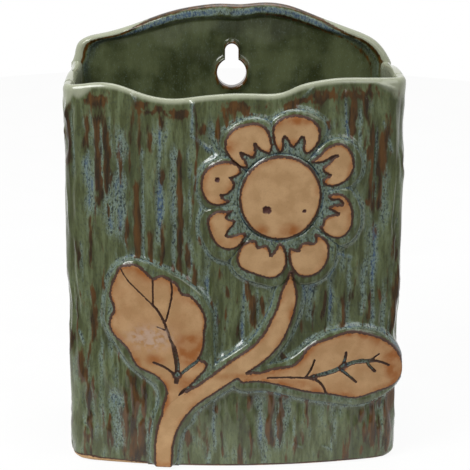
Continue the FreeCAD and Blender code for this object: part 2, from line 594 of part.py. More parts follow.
def make_nodes():
    body = body_block()
    nodes = {
        "back_slab": make_back_slab(),
        "front_slab": make_front_slab(),
        "left_side_slab": make_side_slab(-1, LEFT_RIM_SHARES),
        "right_side_slab": make_side_slab(1, RIGHT_RIM_SHARES),
        "base_slab": make_base_slab(),
        "flower_centre": make_flower_centre(body),
    }
    petals = []
    for index, (name, runs) in enumerate(PETAL_SHARES.items()):
        nodes[name] = make_petal(index, runs, PETAL_SHOULDER_SHARES[index], body)
        petals.append(nodes[name])
    nodes["stem"], nodes["left_leaf"], nodes["right_leaf"] = make_plant(petals, body)
    return nodes


def main():
    os.makedirs("parts", exist_ok=True)
    for name, shape in make_nodes().items():
        shape.translate(Vector(0, 0, -HOLE_HEIGHT))
        box = shape.BoundBox
        print(
            name, "solids", len(shape.Solids), "valid", shape.isValid(), "volume", round(shape.Volume),
            "x", round(box.XMin, 1), round(box.XMax, 1), "y", round(box.YMin, 1), round(box.YMax, 1),
            "z", round(box.ZMin, 1), round(box.ZMax, 1),
        )
        shape.exportStep("parts/" + name + ".step")


main()
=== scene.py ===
import math

import bpy
import numpy as np
from mathutils import Matrix, Vector
from mathutils.bvhtree import BVHTree


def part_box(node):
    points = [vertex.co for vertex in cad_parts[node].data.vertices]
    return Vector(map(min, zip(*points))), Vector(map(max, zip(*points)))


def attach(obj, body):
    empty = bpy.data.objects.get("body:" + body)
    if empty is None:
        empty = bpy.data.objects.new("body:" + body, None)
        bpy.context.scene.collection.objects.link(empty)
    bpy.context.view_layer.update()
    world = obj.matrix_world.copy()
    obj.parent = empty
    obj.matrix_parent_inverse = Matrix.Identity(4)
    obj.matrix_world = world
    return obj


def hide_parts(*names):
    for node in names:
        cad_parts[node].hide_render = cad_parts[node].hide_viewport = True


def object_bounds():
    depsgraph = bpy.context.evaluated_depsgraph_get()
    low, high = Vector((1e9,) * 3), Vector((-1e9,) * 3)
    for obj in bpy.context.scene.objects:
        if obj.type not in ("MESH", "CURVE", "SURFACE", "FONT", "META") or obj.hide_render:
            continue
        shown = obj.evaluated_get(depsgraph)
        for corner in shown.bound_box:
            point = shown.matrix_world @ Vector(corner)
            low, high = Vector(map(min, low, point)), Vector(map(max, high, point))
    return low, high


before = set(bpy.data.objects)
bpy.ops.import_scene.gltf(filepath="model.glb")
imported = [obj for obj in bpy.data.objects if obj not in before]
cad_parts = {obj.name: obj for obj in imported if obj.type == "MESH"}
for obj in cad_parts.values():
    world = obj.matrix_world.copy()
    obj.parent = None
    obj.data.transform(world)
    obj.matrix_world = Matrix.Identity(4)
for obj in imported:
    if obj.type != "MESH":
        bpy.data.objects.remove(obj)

bl_info = {
    "name": "Hanging Wall Vase",
    "version": (1, 0, 0),
    "blender": (4, 5, 0),
    "location": "View3D > Sidebar > Wall Vase",
    "description": "Dresses a slab-built stoneware wall vase in bark texture, reactive glaze and bare clay",
    "category": "Object",
}

CAD_BOX = [list(corner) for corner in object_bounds()]

# Sizes are in millimetres. Heights are over the foot of the vase until they go into a mesh.
MM = 0.001
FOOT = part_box("base_slab")[0].z / MM
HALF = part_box("back_slab")[1].x / MM
FRONT_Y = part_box("front_slab")[0].y / MM
SEAM_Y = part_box("front_slab")[1].y / MM
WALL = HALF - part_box("base_slab")[1].x / MM
BACK_WALL = -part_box("back_slab")[0].y / MM
BASE_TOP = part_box("base_slab")[1].z / MM - FOOT
HOLE_Z = -FOOT
# Rays start this far off, clear of the vase
RAY_START = 200.0

# The vase in plan: how far the front bows, and the corners that lead into it
CORNER_R = 9.0
FRONT_BULGE = 11.0
FRONT_R = (HALF**2 + FRONT_BULGE**2) / (2 * FRONT_BULGE)
ARC_Y = FRONT_Y + FRONT_R
CORNER_X = HALF - CORNER_R
CORNER_Y = ARC_Y - math.sqrt((FRONT_R - CORNER_R) ** 2 - CORNER_X**2)
FOOT_ROUND = 1.5
FOOT_CORNER_ROUND = 2.5

# The bark's middle, lowest and highest level over the front, and the front's swell under the relief
BARK_LEVEL = -0.6
BARK_LOW = -1.7
BARK_HIGH = 0.5
RELIEF_SWELL = 1.3
# How far its brown ridges stand and its blue hollows dip, and how far smooth faces wave
BROWN_RISE = 0.6
HOLLOW_DIP = 0.8
INSIDE_WAVE = 0.35
LIP_WAVE = 0.6
POCKET_WAVE = 0.5

# How far the relief stands over the front: its bare faces, and how far under them clay still counts as bare,
# the glazed pads, the glaze between the petals, and the skirt round each piece, which sinks into the wall
FACE_LIFT = 3.4
FACE_SLACK = 0.25
PAD_LIFT = 2.7
FILL_LIFT = 2.0
SKIRT_LIFT = -2.0
SKIRT_CELLS = 3
# How far back the relief may reach, and how far it keeps from the foot and from the side of the solids' box
PLANT_BACK_Y = -71.2
FOOT_GAP = 0.3
BOX_GAP = 0.05
# The flower's middle, and the glaze that fills the ring round its disc
FLOWER_X = 21.45
FLOWER_Z = 140.6
DISC_SEAT_R = 24.0

# The floor: how far it laps into the walls, and its rounding
FLOOR_LAP = 0.3
FLOOR_ROUND = 0.6

# The back slab: the rim's and the keyhole's rounding, the keyhole, and how far the pocket's face lies back
RIM_ROUND = 3.3
HOLE_ROUND = 0.9
HOLE_R = 7.5
SLOT_HALF = 3.4
SLOT_RISE = 11.6
POCKET_SINK = 1.9
# Its rust and pale bands come in between these heights, and the pocket's face begins this far in from the rim
SHOULDERS = (150, 196)
RIM_BAND = 5.0

# Brown streaks read from the photograph: place across, height of top and bottom, width, strength
BROWN_STREAKS = [
    (-66, 178, 140, 2.2, 1.0), (-61.5, 180, 138, 2.4, 0.95), (-47, 151, 105, 2.4, 0.95),
    (-26.5, 165, 100, 2.2, 1.0), (-52, 133, 119, 1.8, 0.7), (-35, 130, 104, 2.0, 0.75),
    (-42, 125, 108, 1.6, 0.7), (-70, 120, 100, 1.8, 0.6), (-76.5, 120, 100, 1.6, 0.6),
    (-80, 185, 150, 2.4, 0.9), (-72.5, 172, 160, 2.0, 0.8), (-9, 178, 166, 2.4, 1.0),
    (-16, 176, 170, 3.0, 0.9), (44, 178, 172, 2.8, 0.8), (56, 192, 165, 3.0, 1.0),
    (62, 190, 178, 2.8, 0.95), (65.5, 175, 130, 1.8, 0.85), (70, 173, 130, 2.6, 1.0),
    (67, 150, 125, 1.6, 0.7), (64, 138, 133, 3.0, 0.9), (-75.5, 62, 40, 3.0, 1.0), (-72, 45, 8, 2.2, 0.85),
    (-70, 85, 70, 1.8, 0.5), (-49.5, 50, 2, 2.8, 1.0), (-45, 49, 23, 2.2, 0.95), (-45.5, 28, 1, 2.8, 1.0),
    (-41, 26, 12, 1.8, 0.7), (-23, 22, 10, 3.2, 0.85), (-9, 33, 28, 3.4, 0.85), (-4, 98, 88, 1.8, 0.85),
    (-11, 90, 80, 1.8, 0.7), (-7.5, 82, 74, 1.6, 0.6), (8.5, 93, 72, 3.0, 1.0), (13.5, 92, 78, 2.6, 0.9),
    (1.5, 78, 66, 1.8, 0.65), (33, 78, 70, 2.2, 0.75), (23.5, 61, 57, 3.0, 0.8), (43.5, 96, 75, 2.2, 0.9),
    (66.5, 93, 70, 2.2, 0.65), (79.5, 100, 65, 2.6, 0.9), (7.5, 41, 30, 3.0, 0.75), (18, 43, 8, 2.8, 1.0),
    (23, 42, 10, 2.4, 1.0), (34, 18, 10, 2.2, 0.65), (64, 28, 20, 2.2, 0.8), (64, 11, 1, 2.2, 0.7),
    (70, 36, 7, 3.0, 1.0), (78, 41, 0, 4.2, 1.0), (55, 13, 2, 2.0, 0.6), (43, 8, 1, 1.8, 0.5),
    (-31, 14, 2, 2.4, 0.7), (-62, 24, 6, 2.0, 0.7),
]
# Hollows that glaze runs blue in, in the same order
BLUE_HOLLOWS = [
    (-64, 176, 139, 1.6, 0.8), (-70, 165, 128, 4.5, 0.95), (-54, 175, 112, 6.0, 1.0),
    (-60, 130, 118, 3.0, 0.7), (-36, 178, 112, 3.0, 0.9), (-29.5, 168, 98, 3.0, 0.9),
    (-44.5, 168, 100, 2.4, 0.8), (-50, 118, 96, 3.0, 0.7), (-22, 160, 98, 2.6, 0.7),
    (-58, 42, 4, 9.0, 0.85), (-66, 70, 10, 2.6, 0.5), (-38, 32, 8, 2.4, 0.7), (-13, 104, 70, 2.4, 0.9),
    (-10, 38, 6, 2.6, 0.9), (4, 100, 62, 2.6, 0.8), (11, 96, 68, 1.6, 0.8), (13, 40, 6, 3.2, 0.8),
    (22, 34, 6, 7.0, 0.7), (37, 100, 72, 5.0, 0.9), (46.5, 112, 72, 2.2, 0.95), (56, 110, 70, 3.0, 0.75),
    (63, 108, 76, 4.0, 0.95), (68, 128, 64, 2.6, 1.0), (74, 100, 70, 3.0, 0.6), (68, 176, 132, 1.6, 0.9),
    (59, 186, 160, 2.4, 0.8), (50, 26, 6, 4.0, 0.3), (38, 30, 10, 2.6, 0.45), (60, 28, 12, 2.4, 0.35),
    (73, 60, 20, 2.4, 0.35), (-78, 166, 144, 2.2, 0.7), (72, 168, 120, 4.0, 0.6),
]
# Small streaks scattered between them: how many, their seed, widths and strengths, and where all of them lie
LOOSE_BROWNS = (210, 1, (1.1, 2.4), (0.3, 0.85))
LOOSE_BLUES = (120, 2, (1.2, 3.0), (0.25, 0.6))
LOOSE_ACROSS = (-145, 145)
LOOSE_TOPS = (12, 186)
LOOSE_LENGTHS = (7, 30)
# Rust under the lip: how far down, how broad, and its blotches, from, to and strength
RUST_DROP = 5.5
RUST_REACH = 2.3
LIP_BLOTCHES = [
    (-72, -60, 0.6), (-46, -22, 1.1), (-4, 16, 0.9), (22, 46, 1.1), (46, 66, 0.6), (66, 80, 0.25),
]
# Ridges of torn clay: top x and height, bottom x and height, width, lift
CLAY_TEARS = [
    (-49, 191, -46, 184, 1.8, 0.9), (-20, 187, -20.5, 171, 1.8, 1.0), (51.5, 191, 53.5, 168, 1.5, 0.85),
    (70.4, 176, 75.7, 159, 1.7, 0.8), (66.4, 194.7, 77.9, 189.7, 1.5, 0.7), (-21, 171, -11, 162, 2.2, 0.9),
    (36, 193, 30, 187, 1.6, 0.8), (-77, 70, -74, 62, 1.8, 0.8), (-12, 165, -9, 160, 1.6, 0.7),
    (45, 113, 58, 108, 1.6, 0.6), (30, 12, 35, 9, 1.6, 0.5), (44, 10, 50, 7, 1.6, 0.5),
]

# Dents in the walls: place across, height, depth, reach
DENTS = [
    (-82, 78, 1.2, 10), (82, 66, 0.9, 9), (-82, 160, 0.7, 12), (82, 122, 0.5, 12), (-82, 30, 0.5, 14),
    (82, 172, 0.7, 9), (-60, 62, 0.6, 8), (0, 20, 0.6, 14), (52, 118, 0.7, 8), (-46, 182, 0.9, 5),
    (-9, 168, 0.9, 6), (72, 30, 0.7, 9), (30, 182, 0.6, 8),
]
# Toasted places on the bare clay: middle across and up, reach across and up, strength
TOASTS = [
    (-20, 64, 10, 9, 1.0), (-29.5, 95, 3, 4, 0.7), (-39, 58.5, 6, 4, 0.6), (-58.5, 98, 4, 6, 0.5),
    (-23, 46, 7, 7, 0.5), (18, 45, 17, 4, 1.2), (79.5, 53, 6, 9, 1.0), (53, 70.5, 14, 2.5, 0.7),
    (28, 77, 2.5, 11, 0.8), (26, 124.5, 5, 3.5, 0.8), (12.5, 125, 4, 3, 0.6), (39.5, 144, 2, 3, 0.7),
    (39, 123, 4, 5, 0.8), (8, 122, 5, 3, 0.6), (2, 50, 12, 2.5, 0.5), (-41, 8, 4, 8, 0.4),
    (-5, 166, 6, 4, 0.7), (30, 178, 8, 2.5, 0.7), (58, 155, 3, 5, 0.6), (-13, 118, 3, 6, 0.5),
]
# A thin film of glaze on the left leaf, and where veins run broad: middle and reach, across and up
FILM = (-41.5, 69.5, 11, 6)
BROAD_VEINS = [(-22, 58, 6, 14), (54, 52, 15, 6)]
# Small iron pits in the bare clay: their depth, and each one's place across and up, and radius
PIT_DEPTH = 0.8
PITS = {"flower_centre": [(15, 135, 1.9), (33, 134, 0.9)], "petal_7": [(-8.5, 150, 1.2)]}

# What the relief's grid covers across and up, and the cells that close over a vein
GRID_ACROSS = (-HALF - 2, HALF + 5)
GRID_UP = (-2, 190)
VEIN_CELLS = 4

# Steps of the meshes: the relief's grid, the front along and up, the sides along, the pocket's floor, and the
# straight edges of the back slab
GRID_STEP = 0.33
BARK_STEP = 0.58
BARK_RISE = 0.85
SIDE_STEP = 0.9
FLOOR_STEP = 2.0
EDGE_STEP = 3.0
# Points over half a lip, down the inside of a wall, over the back slab's faces, round its rim and round each
# edge of its keyhole, and over the floor
LIP_POINTS = 7
INSIDE_POINTS = 30
FACE_POINTS = 56
RIM_POINTS = 21
HOLE_POINTS = 5
FLOOR_POINTS = 24

# The board under the vase, with the gap that keeps its surface apart from the foot's
BOARD_R = 550.0
BOARD_Y = 400.0
BOARD_SIDES = 96
BOARD_GAP = 0.3
# How white the board shows itself, and how strong the room in front shines
BOARD_WHITE = 0.93
ROOM_LIGHT = 0.38
# What the camera and the softboxes aim at, and each softbox's size and place
AIM = (0.64, -60.0, 113.8)
SOFTBOXES = {
    "key": (550, (-700, -650, 1000)),
    "fill": (800, (800, -800, 850)),
    "top": (600, (100, 100, 1100)),
}

PETALS = ["petal_%d" % number for number in range(1, 9)]
RELIEF_NODES = ["flower_centre", *PETALS, "stem", "left_leaf", "right_leaf"]
MATERIALS = {}
RELIEF = {}


def blend(table, columns, rows, across, along):
    """Blends a table's entries between two columns and two rows, by shares of the way across and along."""
    (left, right), (low, high) = columns, rows
    bottom = table[left, low] * (1 - across) + table[right, low] * across
    top = table[left, high] * (1 - across) + table[right, high] * across
    return bottom * (1 - along) + top * along


def noise(across, along, seed, cells=64):
    """Smooth value noise from 0 to 1, for places counted in its cells: x / 6 gives patches 6 mm across."""
    table = np.random.default_rng(seed).random((cells, cells))
    column, row = np.floor(across).astype(int), np.floor(along).astype(int)
    columns, rows = (column % cells, (column + 1) % cells), (row % cells, (row + 1) % cells)
    return blend(table, columns, rows, ease(across - column, 0, 1), ease(along - row, 0, 1))


def ease(value, start, end):
    """Rises smoothly from 0 at the start to 1 at the end, which may lie lower than the start."""
    share = np.clip((value - start) / (end - start), 0, 1)
    return share * share * (3 - 2 * share)


def bell(distance, reach):
    """A soft hump: 1 at no distance, and almost gone at twice its reach."""
    return np.exp(-((distance / reach) ** 2))


def spot(x, z, place_x, place_z, reach_x, reach_z):
    """A soft oval spot."""
    return bell(x - place_x, reach_x) * bell(z - place_z, reach_z)


def blur(field, spread):
    """Gaussian blur of a field on the relief's grid."""
    cells = spread / GRID_STEP
    reach = int(math.ceil(3 * cells))
    weights = np.exp(-0.5 * (np.arange(-reach, reach + 1) / cells) ** 2)
    weights /= weights.sum()
    field = field.astype(float)
    for axis in (0, 1):
        padded = np.pad(field, [(reach, reach) if a == axis else (0, 0) for a in (0, 1)], mode="edge")
        size = field.shape[axis]
        field = sum(w * np.take(padded, np.arange(k, k + size), axis) for k, w in enumerate(weights))
    return field


def sizes():
    """The sizes that a user may change, as they stand in the scene."""
    return bpy.context.scene.vase_sizes


def tree_of(node):
    """The solid of a node, for rays."""
    return BVHTree.FromObject(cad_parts[node], bpy.context.evaluated_depsgraph_get())


def row_frame(points):
    """Millimetres over the foot, to metres in the row frame."""
    return (np.asarray(points, float) + [0, 0, FOOT]) * MM


def link(name, data):
    """An object in the scene with a mesh, lamp or camera."""
    made = bpy.data.objects.new(name, data)
    bpy.context.scene.collection.objects.link(made)
    return made


def make_piece(name, points, faces, fields, kind, node, slot):
    """A piece of the vase that stands in for one node, with the fields that its material reads."""
    if kind not in MATERIALS:
        raise RuntimeError("The glaze and clay come before " + name)
    mesh = bpy.data.meshes.new(name)
    mesh.from_pydata(row_frame(points).tolist(), [], faces)
    mesh.update()
    for field, values in fields.items():
        attribute = mesh.attributes.new(field, "FLOAT", "POINT")
        attribute.data.foreach_set("value", np.asarray(values, np.float32).ravel())
    if mesh.validate():
        raise RuntimeError(name + " has faces that don't hold together")
    mesh.shade_smooth()
    mesh.materials.append(MATERIALS[kind])
    piece = link(name, mesh)
    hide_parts(node)
    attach(piece, "root")


def ring_faces(rings, around, joined=False):
    """Faces of a skin of closed rings. Its ends are capped, or its last ring is joined to its first."""
    index = np.arange(rings * around).reshape(rings, around)
    caps = [index[0, ::-1].tolist(), index[-1].tolist()]
    if joined:
        index, caps = np.vstack([index, index[:1]]), []
    following = np.roll(index, -1, axis=1)
    corners = [index[:-1], following[:-1], following[1:], index[1:]]
    return np.stack([corner.ravel() for corner in corners], 1).tolist() + caps


def height_at(tree, x, y):
    """Height at which a ray that falls on a solid meets it, or not a number where it misses."""
    hit = tree.ray_cast(Vector((x * MM, y * MM, RAY_START * MM)), Vector((0, 0, -1)))[0]
    return math.nan if hit is None else hit.z / MM - FOOT


def corners_of(grid):
    """The values at the four corners of every cell of a grid, in order round the cell."""
    return grid[:-1, :-1], grid[1:, :-1], grid[1:, 1:], grid[:-1, 1:]


# The relief, read from the solids on one grid over the front

def read_lift(node, xs, zs):
    """Lift of one relief piece over the bowed front, where it has any."""
    low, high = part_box(node)
    tree = tree_of(node)
    lift = np.full((len(xs), len(zs)), np.nan)
    margin = 2 * GRID_STEP
    columns = np.nonzero((xs > low.x / MM - margin) & (xs < high.x / MM + margin))[0]
    rows = np.nonzero((zs + FOOT > low.z / MM - margin) & (zs + FOOT < high.z / MM + margin))[0]
    for i in columns:
        for j in rows:
            start = Vector((xs[i] * MM, -RAY_START * MM, (zs[j] + FOOT) * MM))
            hit = tree.ray_cast(start, Vector((0, 1, 0)))[0]
            if hit is not None:
                lift[i, j] = math.hypot(xs[i], hit.y / MM - ARC_Y) - FRONT_R
    if np.isnan(lift).all():
        raise RuntimeError("No ray meets " + node)
    return lift


def dilate(mask, times):
    """Grows a mask by so many cells."""
    for _ in range(times):
        grown = mask.copy()
        grown[1:] |= mask[:-1]
        grown[:-1] |= mask[1:]
        grown[:, 1:] |= mask[:, :-1]
        grown[:, :-1] |= mask[:, 1:]
        mask = grown
    return mask


def bare_faces(x, z, solid, leaf):
    """Where the relief's faces lie, the leaves' with their veins, and how deep those veins are cut."""
    bare = solid > FACE_LIFT - FACE_SLACK
    face = bare | (leaf & ~dilate(~dilate(bare, VEIN_CELLS), VEIN_CELLS))
    broad = np.max([spot(x, z, *place) for place in BROAD_VEINS], axis=0)
    vein = blur(face & ~bare, 0.3)
    vein = ease(vein, 0.55 - 0.35 * broad, 0.97 - 0.45 * broad) * np.minimum(0.62 + 0.6 * broad, 1)
    return face, vein


def pad_height(solid, inside, near, to_flower):
    """Height of the glazed pads with their soft shoulders, and of the glaze that fills the flower."""
    share = np.clip(2 * blur(inside, sizes().shoulder_softness / MM) - 1, 0, 1)
    pads = np.minimum(solid, PAD_LIFT * np.sqrt(1 - (1 - share) ** 2))
    fill = np.maximum(ease(near, 0.8, 0.98), ease(to_flower, DISC_SEAT_R + 2, DISC_SEAT_R))
    return np.maximum(pads, FILL_LIFT * fill)


def pooling(x, z, height, near, to_flower):
    """How thick glaze pools on the relief: in creases, at its foot, and between the petals and the disc."""
    crease = ease(blur(height, 1.0) - height, 0.0, 0.6)
    pool = (0.2 + 0.5 * noise(x / 6 + 40, z / 6 + 40, 13)) * crease + 0.35 * ease(near, 0.85, 1.0)
    return np.minimum(pool + 0.6 * ease(to_flower, DISC_SEAT_R + 7, DISC_SEAT_R + 2), 0.72)


def toasting(x, z, face, leaf):
    """How far the bare clay is toasted: along the glaze, most on upper edges, and in the places read."""
    warm = blur(face, 1.3)
    upper = np.clip(-np.gradient(warm, axis=1) / GRID_STEP / 0.25, 0, 1)
    along = ease(1 - warm, 0.02, 0.45) * (0.65 + 0.35 * upper)
    wide = ease(1 - blur(face, 3.2), 0.0, 0.5) * ease(noise(x / 7, z / 7, 14), 0.3, 0.8)
    toast = np.maximum(along, 0.5 * wide) + 0.22 * blur(leaf, 1.0) * (0.6 + 0.8 * noise(x / 9, z / 9, 15))
    for *place, strength in TOASTS:
        toast = np.maximum(toast, strength * spot(x, z, *place))
    return toast


def relief():
    """The relief's grid, lifts and fields, worked out over all its pieces together so that they meet without
    a seam, and kept until a size that they follow changes."""
    chosen = (sizes().shoulder_softness, sizes().vein_depth)
    if RELIEF.get("chosen") == chosen:
        return RELIEF
    xs, zs = np.arange(*GRID_ACROSS, GRID_STEP), np.arange(*GRID_UP, GRID_STEP)
    x, z = np.meshgrid(xs, zs, indexing="ij")
    lifts = {node: read_lift(node, xs, zs) for node in RELIEF_NODES}
    solid = np.max([np.nan_to_num(lift, nan=0.0) for lift in lifts.values()], axis=0)
    inside = np.max([~np.isnan(lift) for lift in lifts.values()], axis=0)
    leaf = dilate(~np.isnan(lifts["left_leaf"]) | ~np.isnan(lifts["right_leaf"]), 2)
    near = blur(inside, 1.6)
    to_flower = np.hypot(x - FLOWER_X, z - FLOWER_Z)
    face, vein = bare_faces(x, z, solid, leaf)
    height = blur(np.where(face, FACE_LIFT, pad_height(solid, inside, near, to_flower)), 0.36)
    height -= sizes().vein_depth / MM * vein
    clay = blur(face, 0.55) * (1 - vein)
    pool = pooling(x, z, height, near, to_flower) * (1 - clay)
    height += clay * 0.16 * (noise(x / 5 + 40, z / 5 + 40, 11) - 0.5)
    height += (1 - clay) * ease(height, 0, 1.5) * 0.4 * (noise(x / 3.5 + 40, z / 3.5 + 40, 12) - 0.5)
    fields = {
        "lift": np.minimum(height, FACE_LIFT),
        "clay": clay,
        "pool": pool,
        "toast": toasting(x, z, face, leaf),
        "film": spot(x, z, *FILM),
    }
    RELIEF.update(chosen=chosen, xs=xs, zs=zs, lifts=lifts, near=near, fields=fields)
    return RELIEF


def near_relief(x, z):
    """How near a place on the front is to the relief, from 0 far off to 1 under it."""
    xs, zs, near = [relief()[part] for part in ("xs", "zs", "near")]
    u = np.clip((x - xs[0]) / GRID_STEP, 0, len(xs) - 2)
    v = np.clip((z - zs[0]) / GRID_STEP, 0, len(zs) - 2)
    i, j = u.astype(int), v.astype(int)
    return blend(near, (i, i + 1), (j, j + 1), u - i, v - j)


def body_y(x):
    """The outside of the front and its corners, at a place across."""
    x = np.abs(x)
    front = ARC_Y - np.sqrt(FRONT_R**2 - x**2)
    corner = CORNER_Y - np.sqrt(np.maximum(CORNER_R**2 - (x - CORNER_X) ** 2, 0))
    turn = FRONT_R * CORNER_X / (FRONT_R - CORNER_R)
    return np.where(x < turn, front, corner)


def iron_pits(x, z, pits):
    """Where small pits lie in the clay, and how deep they are."""
    pitted, hollow = np.zeros_like(x), np.zeros_like(x)
    for pit_x, pit_z, pit_r in pits:
        reach = np.hypot((x - pit_x) / 1.1, z - pit_z) + 0.5 * pit_r * (noise(x / 0.8, z / 0.8, 16) - 0.5)
        pitted = np.maximum(pitted, ease(reach, 1.3 * pit_r, 0.8 * pit_r))
        hollow += PIT_DEPTH * ease(reach, 1.15 * pit_r, 0.35 * pit_r)
    return pitted, hollow


def relief_skin(node, pits=()):
    """A relief piece: bare clay face, glazed flanks that sink into the front, and a back inside the wall."""
    inside = ~np.isnan(relief()["lifts"][node])
    columns, rows = np.nonzero(inside.any(1))[0], np.nonzero(inside.any(0))[0]
    pad = 2 * SKIRT_CELLS + 2
    window = np.s_[columns[0] - pad:columns[-1] + pad + 1, rows[0] - pad:rows[-1] + pad + 1]
    inside = inside[window]
    x, z = np.meshgrid(relief()["xs"][window[0]], relief()["zs"][window[1]], indexing="ij")
    fields = {name: values[window].copy() for name, values in relief()["fields"].items()}
    pitted, hollow = iron_pits(x, z, pits)
    height = np.where(inside, fields["lift"], fields["lift"] - 0.05) - hollow
    region = dilate(inside, SKIRT_CELLS) & (z > FOOT_GAP) & (x < CAD_BOX[1][0] / MM - BOX_GAP)
    full = np.min(corners_of(region), axis=0)
    edge = region.copy()
    edge[1:-1, 1:-1] &= ~np.min(corners_of(full), axis=0)
    full &= ~np.min(corners_of(edge), axis=0)
    fields.update(lift=np.where(edge, SKIRT_LIFT, height), pit=pitted)
    y_back = np.minimum(body_y(np.clip(x, -HALF, HALF)) - SKIRT_LIFT, PLANT_BACK_Y)
    y = np.where(edge, y_back, ARC_Y - np.sqrt((FRONT_R + height) ** 2 - x**2))
    points = np.concatenate([np.stack([x, y, z], 2)[region], np.stack([x, y_back, z], 2)[region]])
    front_index = np.full(region.shape, -1)
    front_index[region] = np.arange(region.sum())
    back_index = np.where(edge, front_index, front_index + region.sum())
    front = [corner[full] for corner in corners_of(front_index)]
    back = [corners_of(back_index)[turn][full] for turn in (0, 3, 2, 1)]
    used, faces = np.unique(np.concatenate([np.stack(front, 1), np.stack(back, 1)]), return_inverse=True)
    faces = faces.reshape(-1, 4)
    points = soften_edge(points[used], faces, np.tile(edge[region], 2)[used])
    return points, faces.tolist(), {name: np.tile(values[region], 2)[used] for name, values in fields.items()}


def soften_edge(points, faces, on_edge):
    """Takes the steps out of the skirt's outline by averaging each edge point with its neighbours."""
    pairs = np.concatenate([faces[:, [0, 1]], faces[:, [1, 2]], faces[:, [2, 3]], faces[:, [3, 0]]])
    pairs = pairs[on_edge[pairs[:, 0]] & on_edge[pairs[:, 1]]]
    for _ in range(3):
        total = points.copy()
        count = np.ones(len(points))
        np.add.at(total, pairs[:, 0], points[pairs[:, 1]])
        np.add.at(count, pairs[:, 0], 1)
        points = np.where(on_edge[:, None], total / count[:, None], points)
    return points


# The walls

def streak(x, z, place, top, bottom, width, strength, seed):
    """One upright streak that wanders, frays and fades at both ends."""
    still = np.full_like(z, seed * 3.1)
    middle = place + 1.5 * (noise(still, z / 11, seed) - 0.5) + 0.7 * (noise(still, z / 3.5, seed + 1) - 0.5)
    girth = width * (0.6 + 0.9 * noise(still, z / 7 + 40, seed + 2))
    soft = min(7, 0.4 * (top - bottom)) + 1
    ends = ease(z, bottom - 2, bottom + soft) * ease(z, top + 2, top - soft)
    fray = 0.85 + 0.5 * noise(x / 0.9 + 80, z / 6, seed + 5)
    return strength * ends * fray * bell(x - middle, 0.5 * girth)


def all_streaks(table, x, z, seed):
    """The strongest streak of a table at each place."""
    field = np.zeros_like(x)
    for order, (place, top, bottom, width, strength) in enumerate(table):
        close = (np.abs(x - place) < 2 * width + 1.5) & (z < top + 3) & (z > bottom - 3)
        found = streak(x[close], z[close], place, top, bottom, width, strength, seed + order)
        field[close] = np.maximum(field[close], found)
    return field


def loose_streaks(count, seed, width, strength):
    """Small streaks scattered over the front and sides."""
    rng = np.random.default_rng(seed)
    places = rng.uniform(*LOOSE_ACROSS, count)
    tops = rng.uniform(*LOOSE_TOPS, count)
    lengths = rng.uniform(*LOOSE_LENGTHS, count)
    widths = rng.uniform(*width, count)
    strengths = rng.uniform(*strength, count)
    return list(zip(places, tops, tops - lengths, widths, strengths))


def tear(x, z, x_top, z_top, x_low, z_low, width):
    """A torn ridge of clay between two places."""
    along = np.array([x_low - x_top, z_low - z_top])
    length = np.hypot(*along)
    along = along / length
    travel = (x - x_top) * along[0] + (z - z_top) * along[1]
    off = (x - x_top) * along[1] - (z - z_top) * along[0]
    return ease(travel, -1.5, 1.5) * ease(travel, length + 1, length - 2.5) * bell(off, 0.5 * width)


def brown_and_blue(x, z):
    """How far glaze breaks brown on the bark's ridges, and how thick it runs in its hollows."""
    browns = BROWN_STREAKS + loose_streaks(*LOOSE_BROWNS)
    blues = BLUE_HOLLOWS + loose_streaks(*LOOSE_BLUES)
    wide_browns = [(*place, 2.5 * width, strength) for *place, width, strength in browns]
    brown = all_streaks(browns, x, z, 100)
    beside = np.clip(all_streaks(wide_browns, x, z, 100) - 1.3 * brown, 0, 1)
    return brown, np.maximum(all_streaks(blues, x, z, 700), 0.7 * beside)


def lip_rust(x, down, z, seed):
    """Patchy rust in a band a little way down from the lip."""
    place = down - RUST_DROP - 3 * noise(x / 9, z / 50, seed + 8)
    patchy = noise(x / 4.5 + 5, z / 2.4 + 5, seed + 9) + 0.5 * noise(x / 1.2, z / 1.5, seed + 10)
    spans = [strength * ease(x, start - 3, start + 3) * ease(x, end + 3, end - 3)
             for start, end, strength in LIP_BLOTCHES]
    return 0.9 * np.max(spans, axis=0) * bell(place, RUST_REACH) * ease(patchy, 0.25, 0.8)


def bark(x, z, crown, seed):
    """Lift of the bark, and the fields that the glaze follows, for places across and heights."""
    wander = 6 * (noise(x / 30 + 20, z / 42 + 20, seed) - 0.5) + 1.2 * (noise(x / 8, z / 13, seed + 20) - 0.5)
    fine = 1 - np.abs(2 * noise((x + wander) / 4.4 + 90, z / 34 + 10, seed + 1) - 1)
    coarse = noise((x + wander) / 6.5 + 90, z / 60 + 30, seed + 2)
    hair = noise((x + wander) / 1.5 + 90, z / 15 + 30, seed + 3)
    ridges = 0.75 * (fine - 0.55) + 0.6 * (coarse - 0.5) + 0.3 * (hair - 0.5)
    brown, hollow = brown_and_blue(x, z)
    brown = np.maximum(brown, lip_rust(x, crown - z, z, seed))
    dents = sum(depth * spot(x, z, place, up, reach, 1.3 * reach) for place, up, depth, reach in DENTS)
    torn = np.max([lift * tear(x, z, *place) for *place, lift in CLAY_TEARS], axis=0)
    near = near_relief(x, z)
    calm = ease(near, 0.5, 0.05) * ease(z, 0, 6) * ease(crown - z, 3, 12)
    lift = BARK_LEVEL + calm * (sizes().bark_depth / MM * ridges + BROWN_RISE * brown - HOLLOW_DIP * hollow)
    lift = np.clip(lift + torn * ease(crown - z, 0, 3), BARK_LOW, BARK_HIGH)
    lift += RELIEF_SWELL * ease(near, 0.04, 0.6) - dents * calm
    return lift, {"thin": brown, "pool": hollow * calm + 1.1 * torn, "ridge": ridges, "near": near}


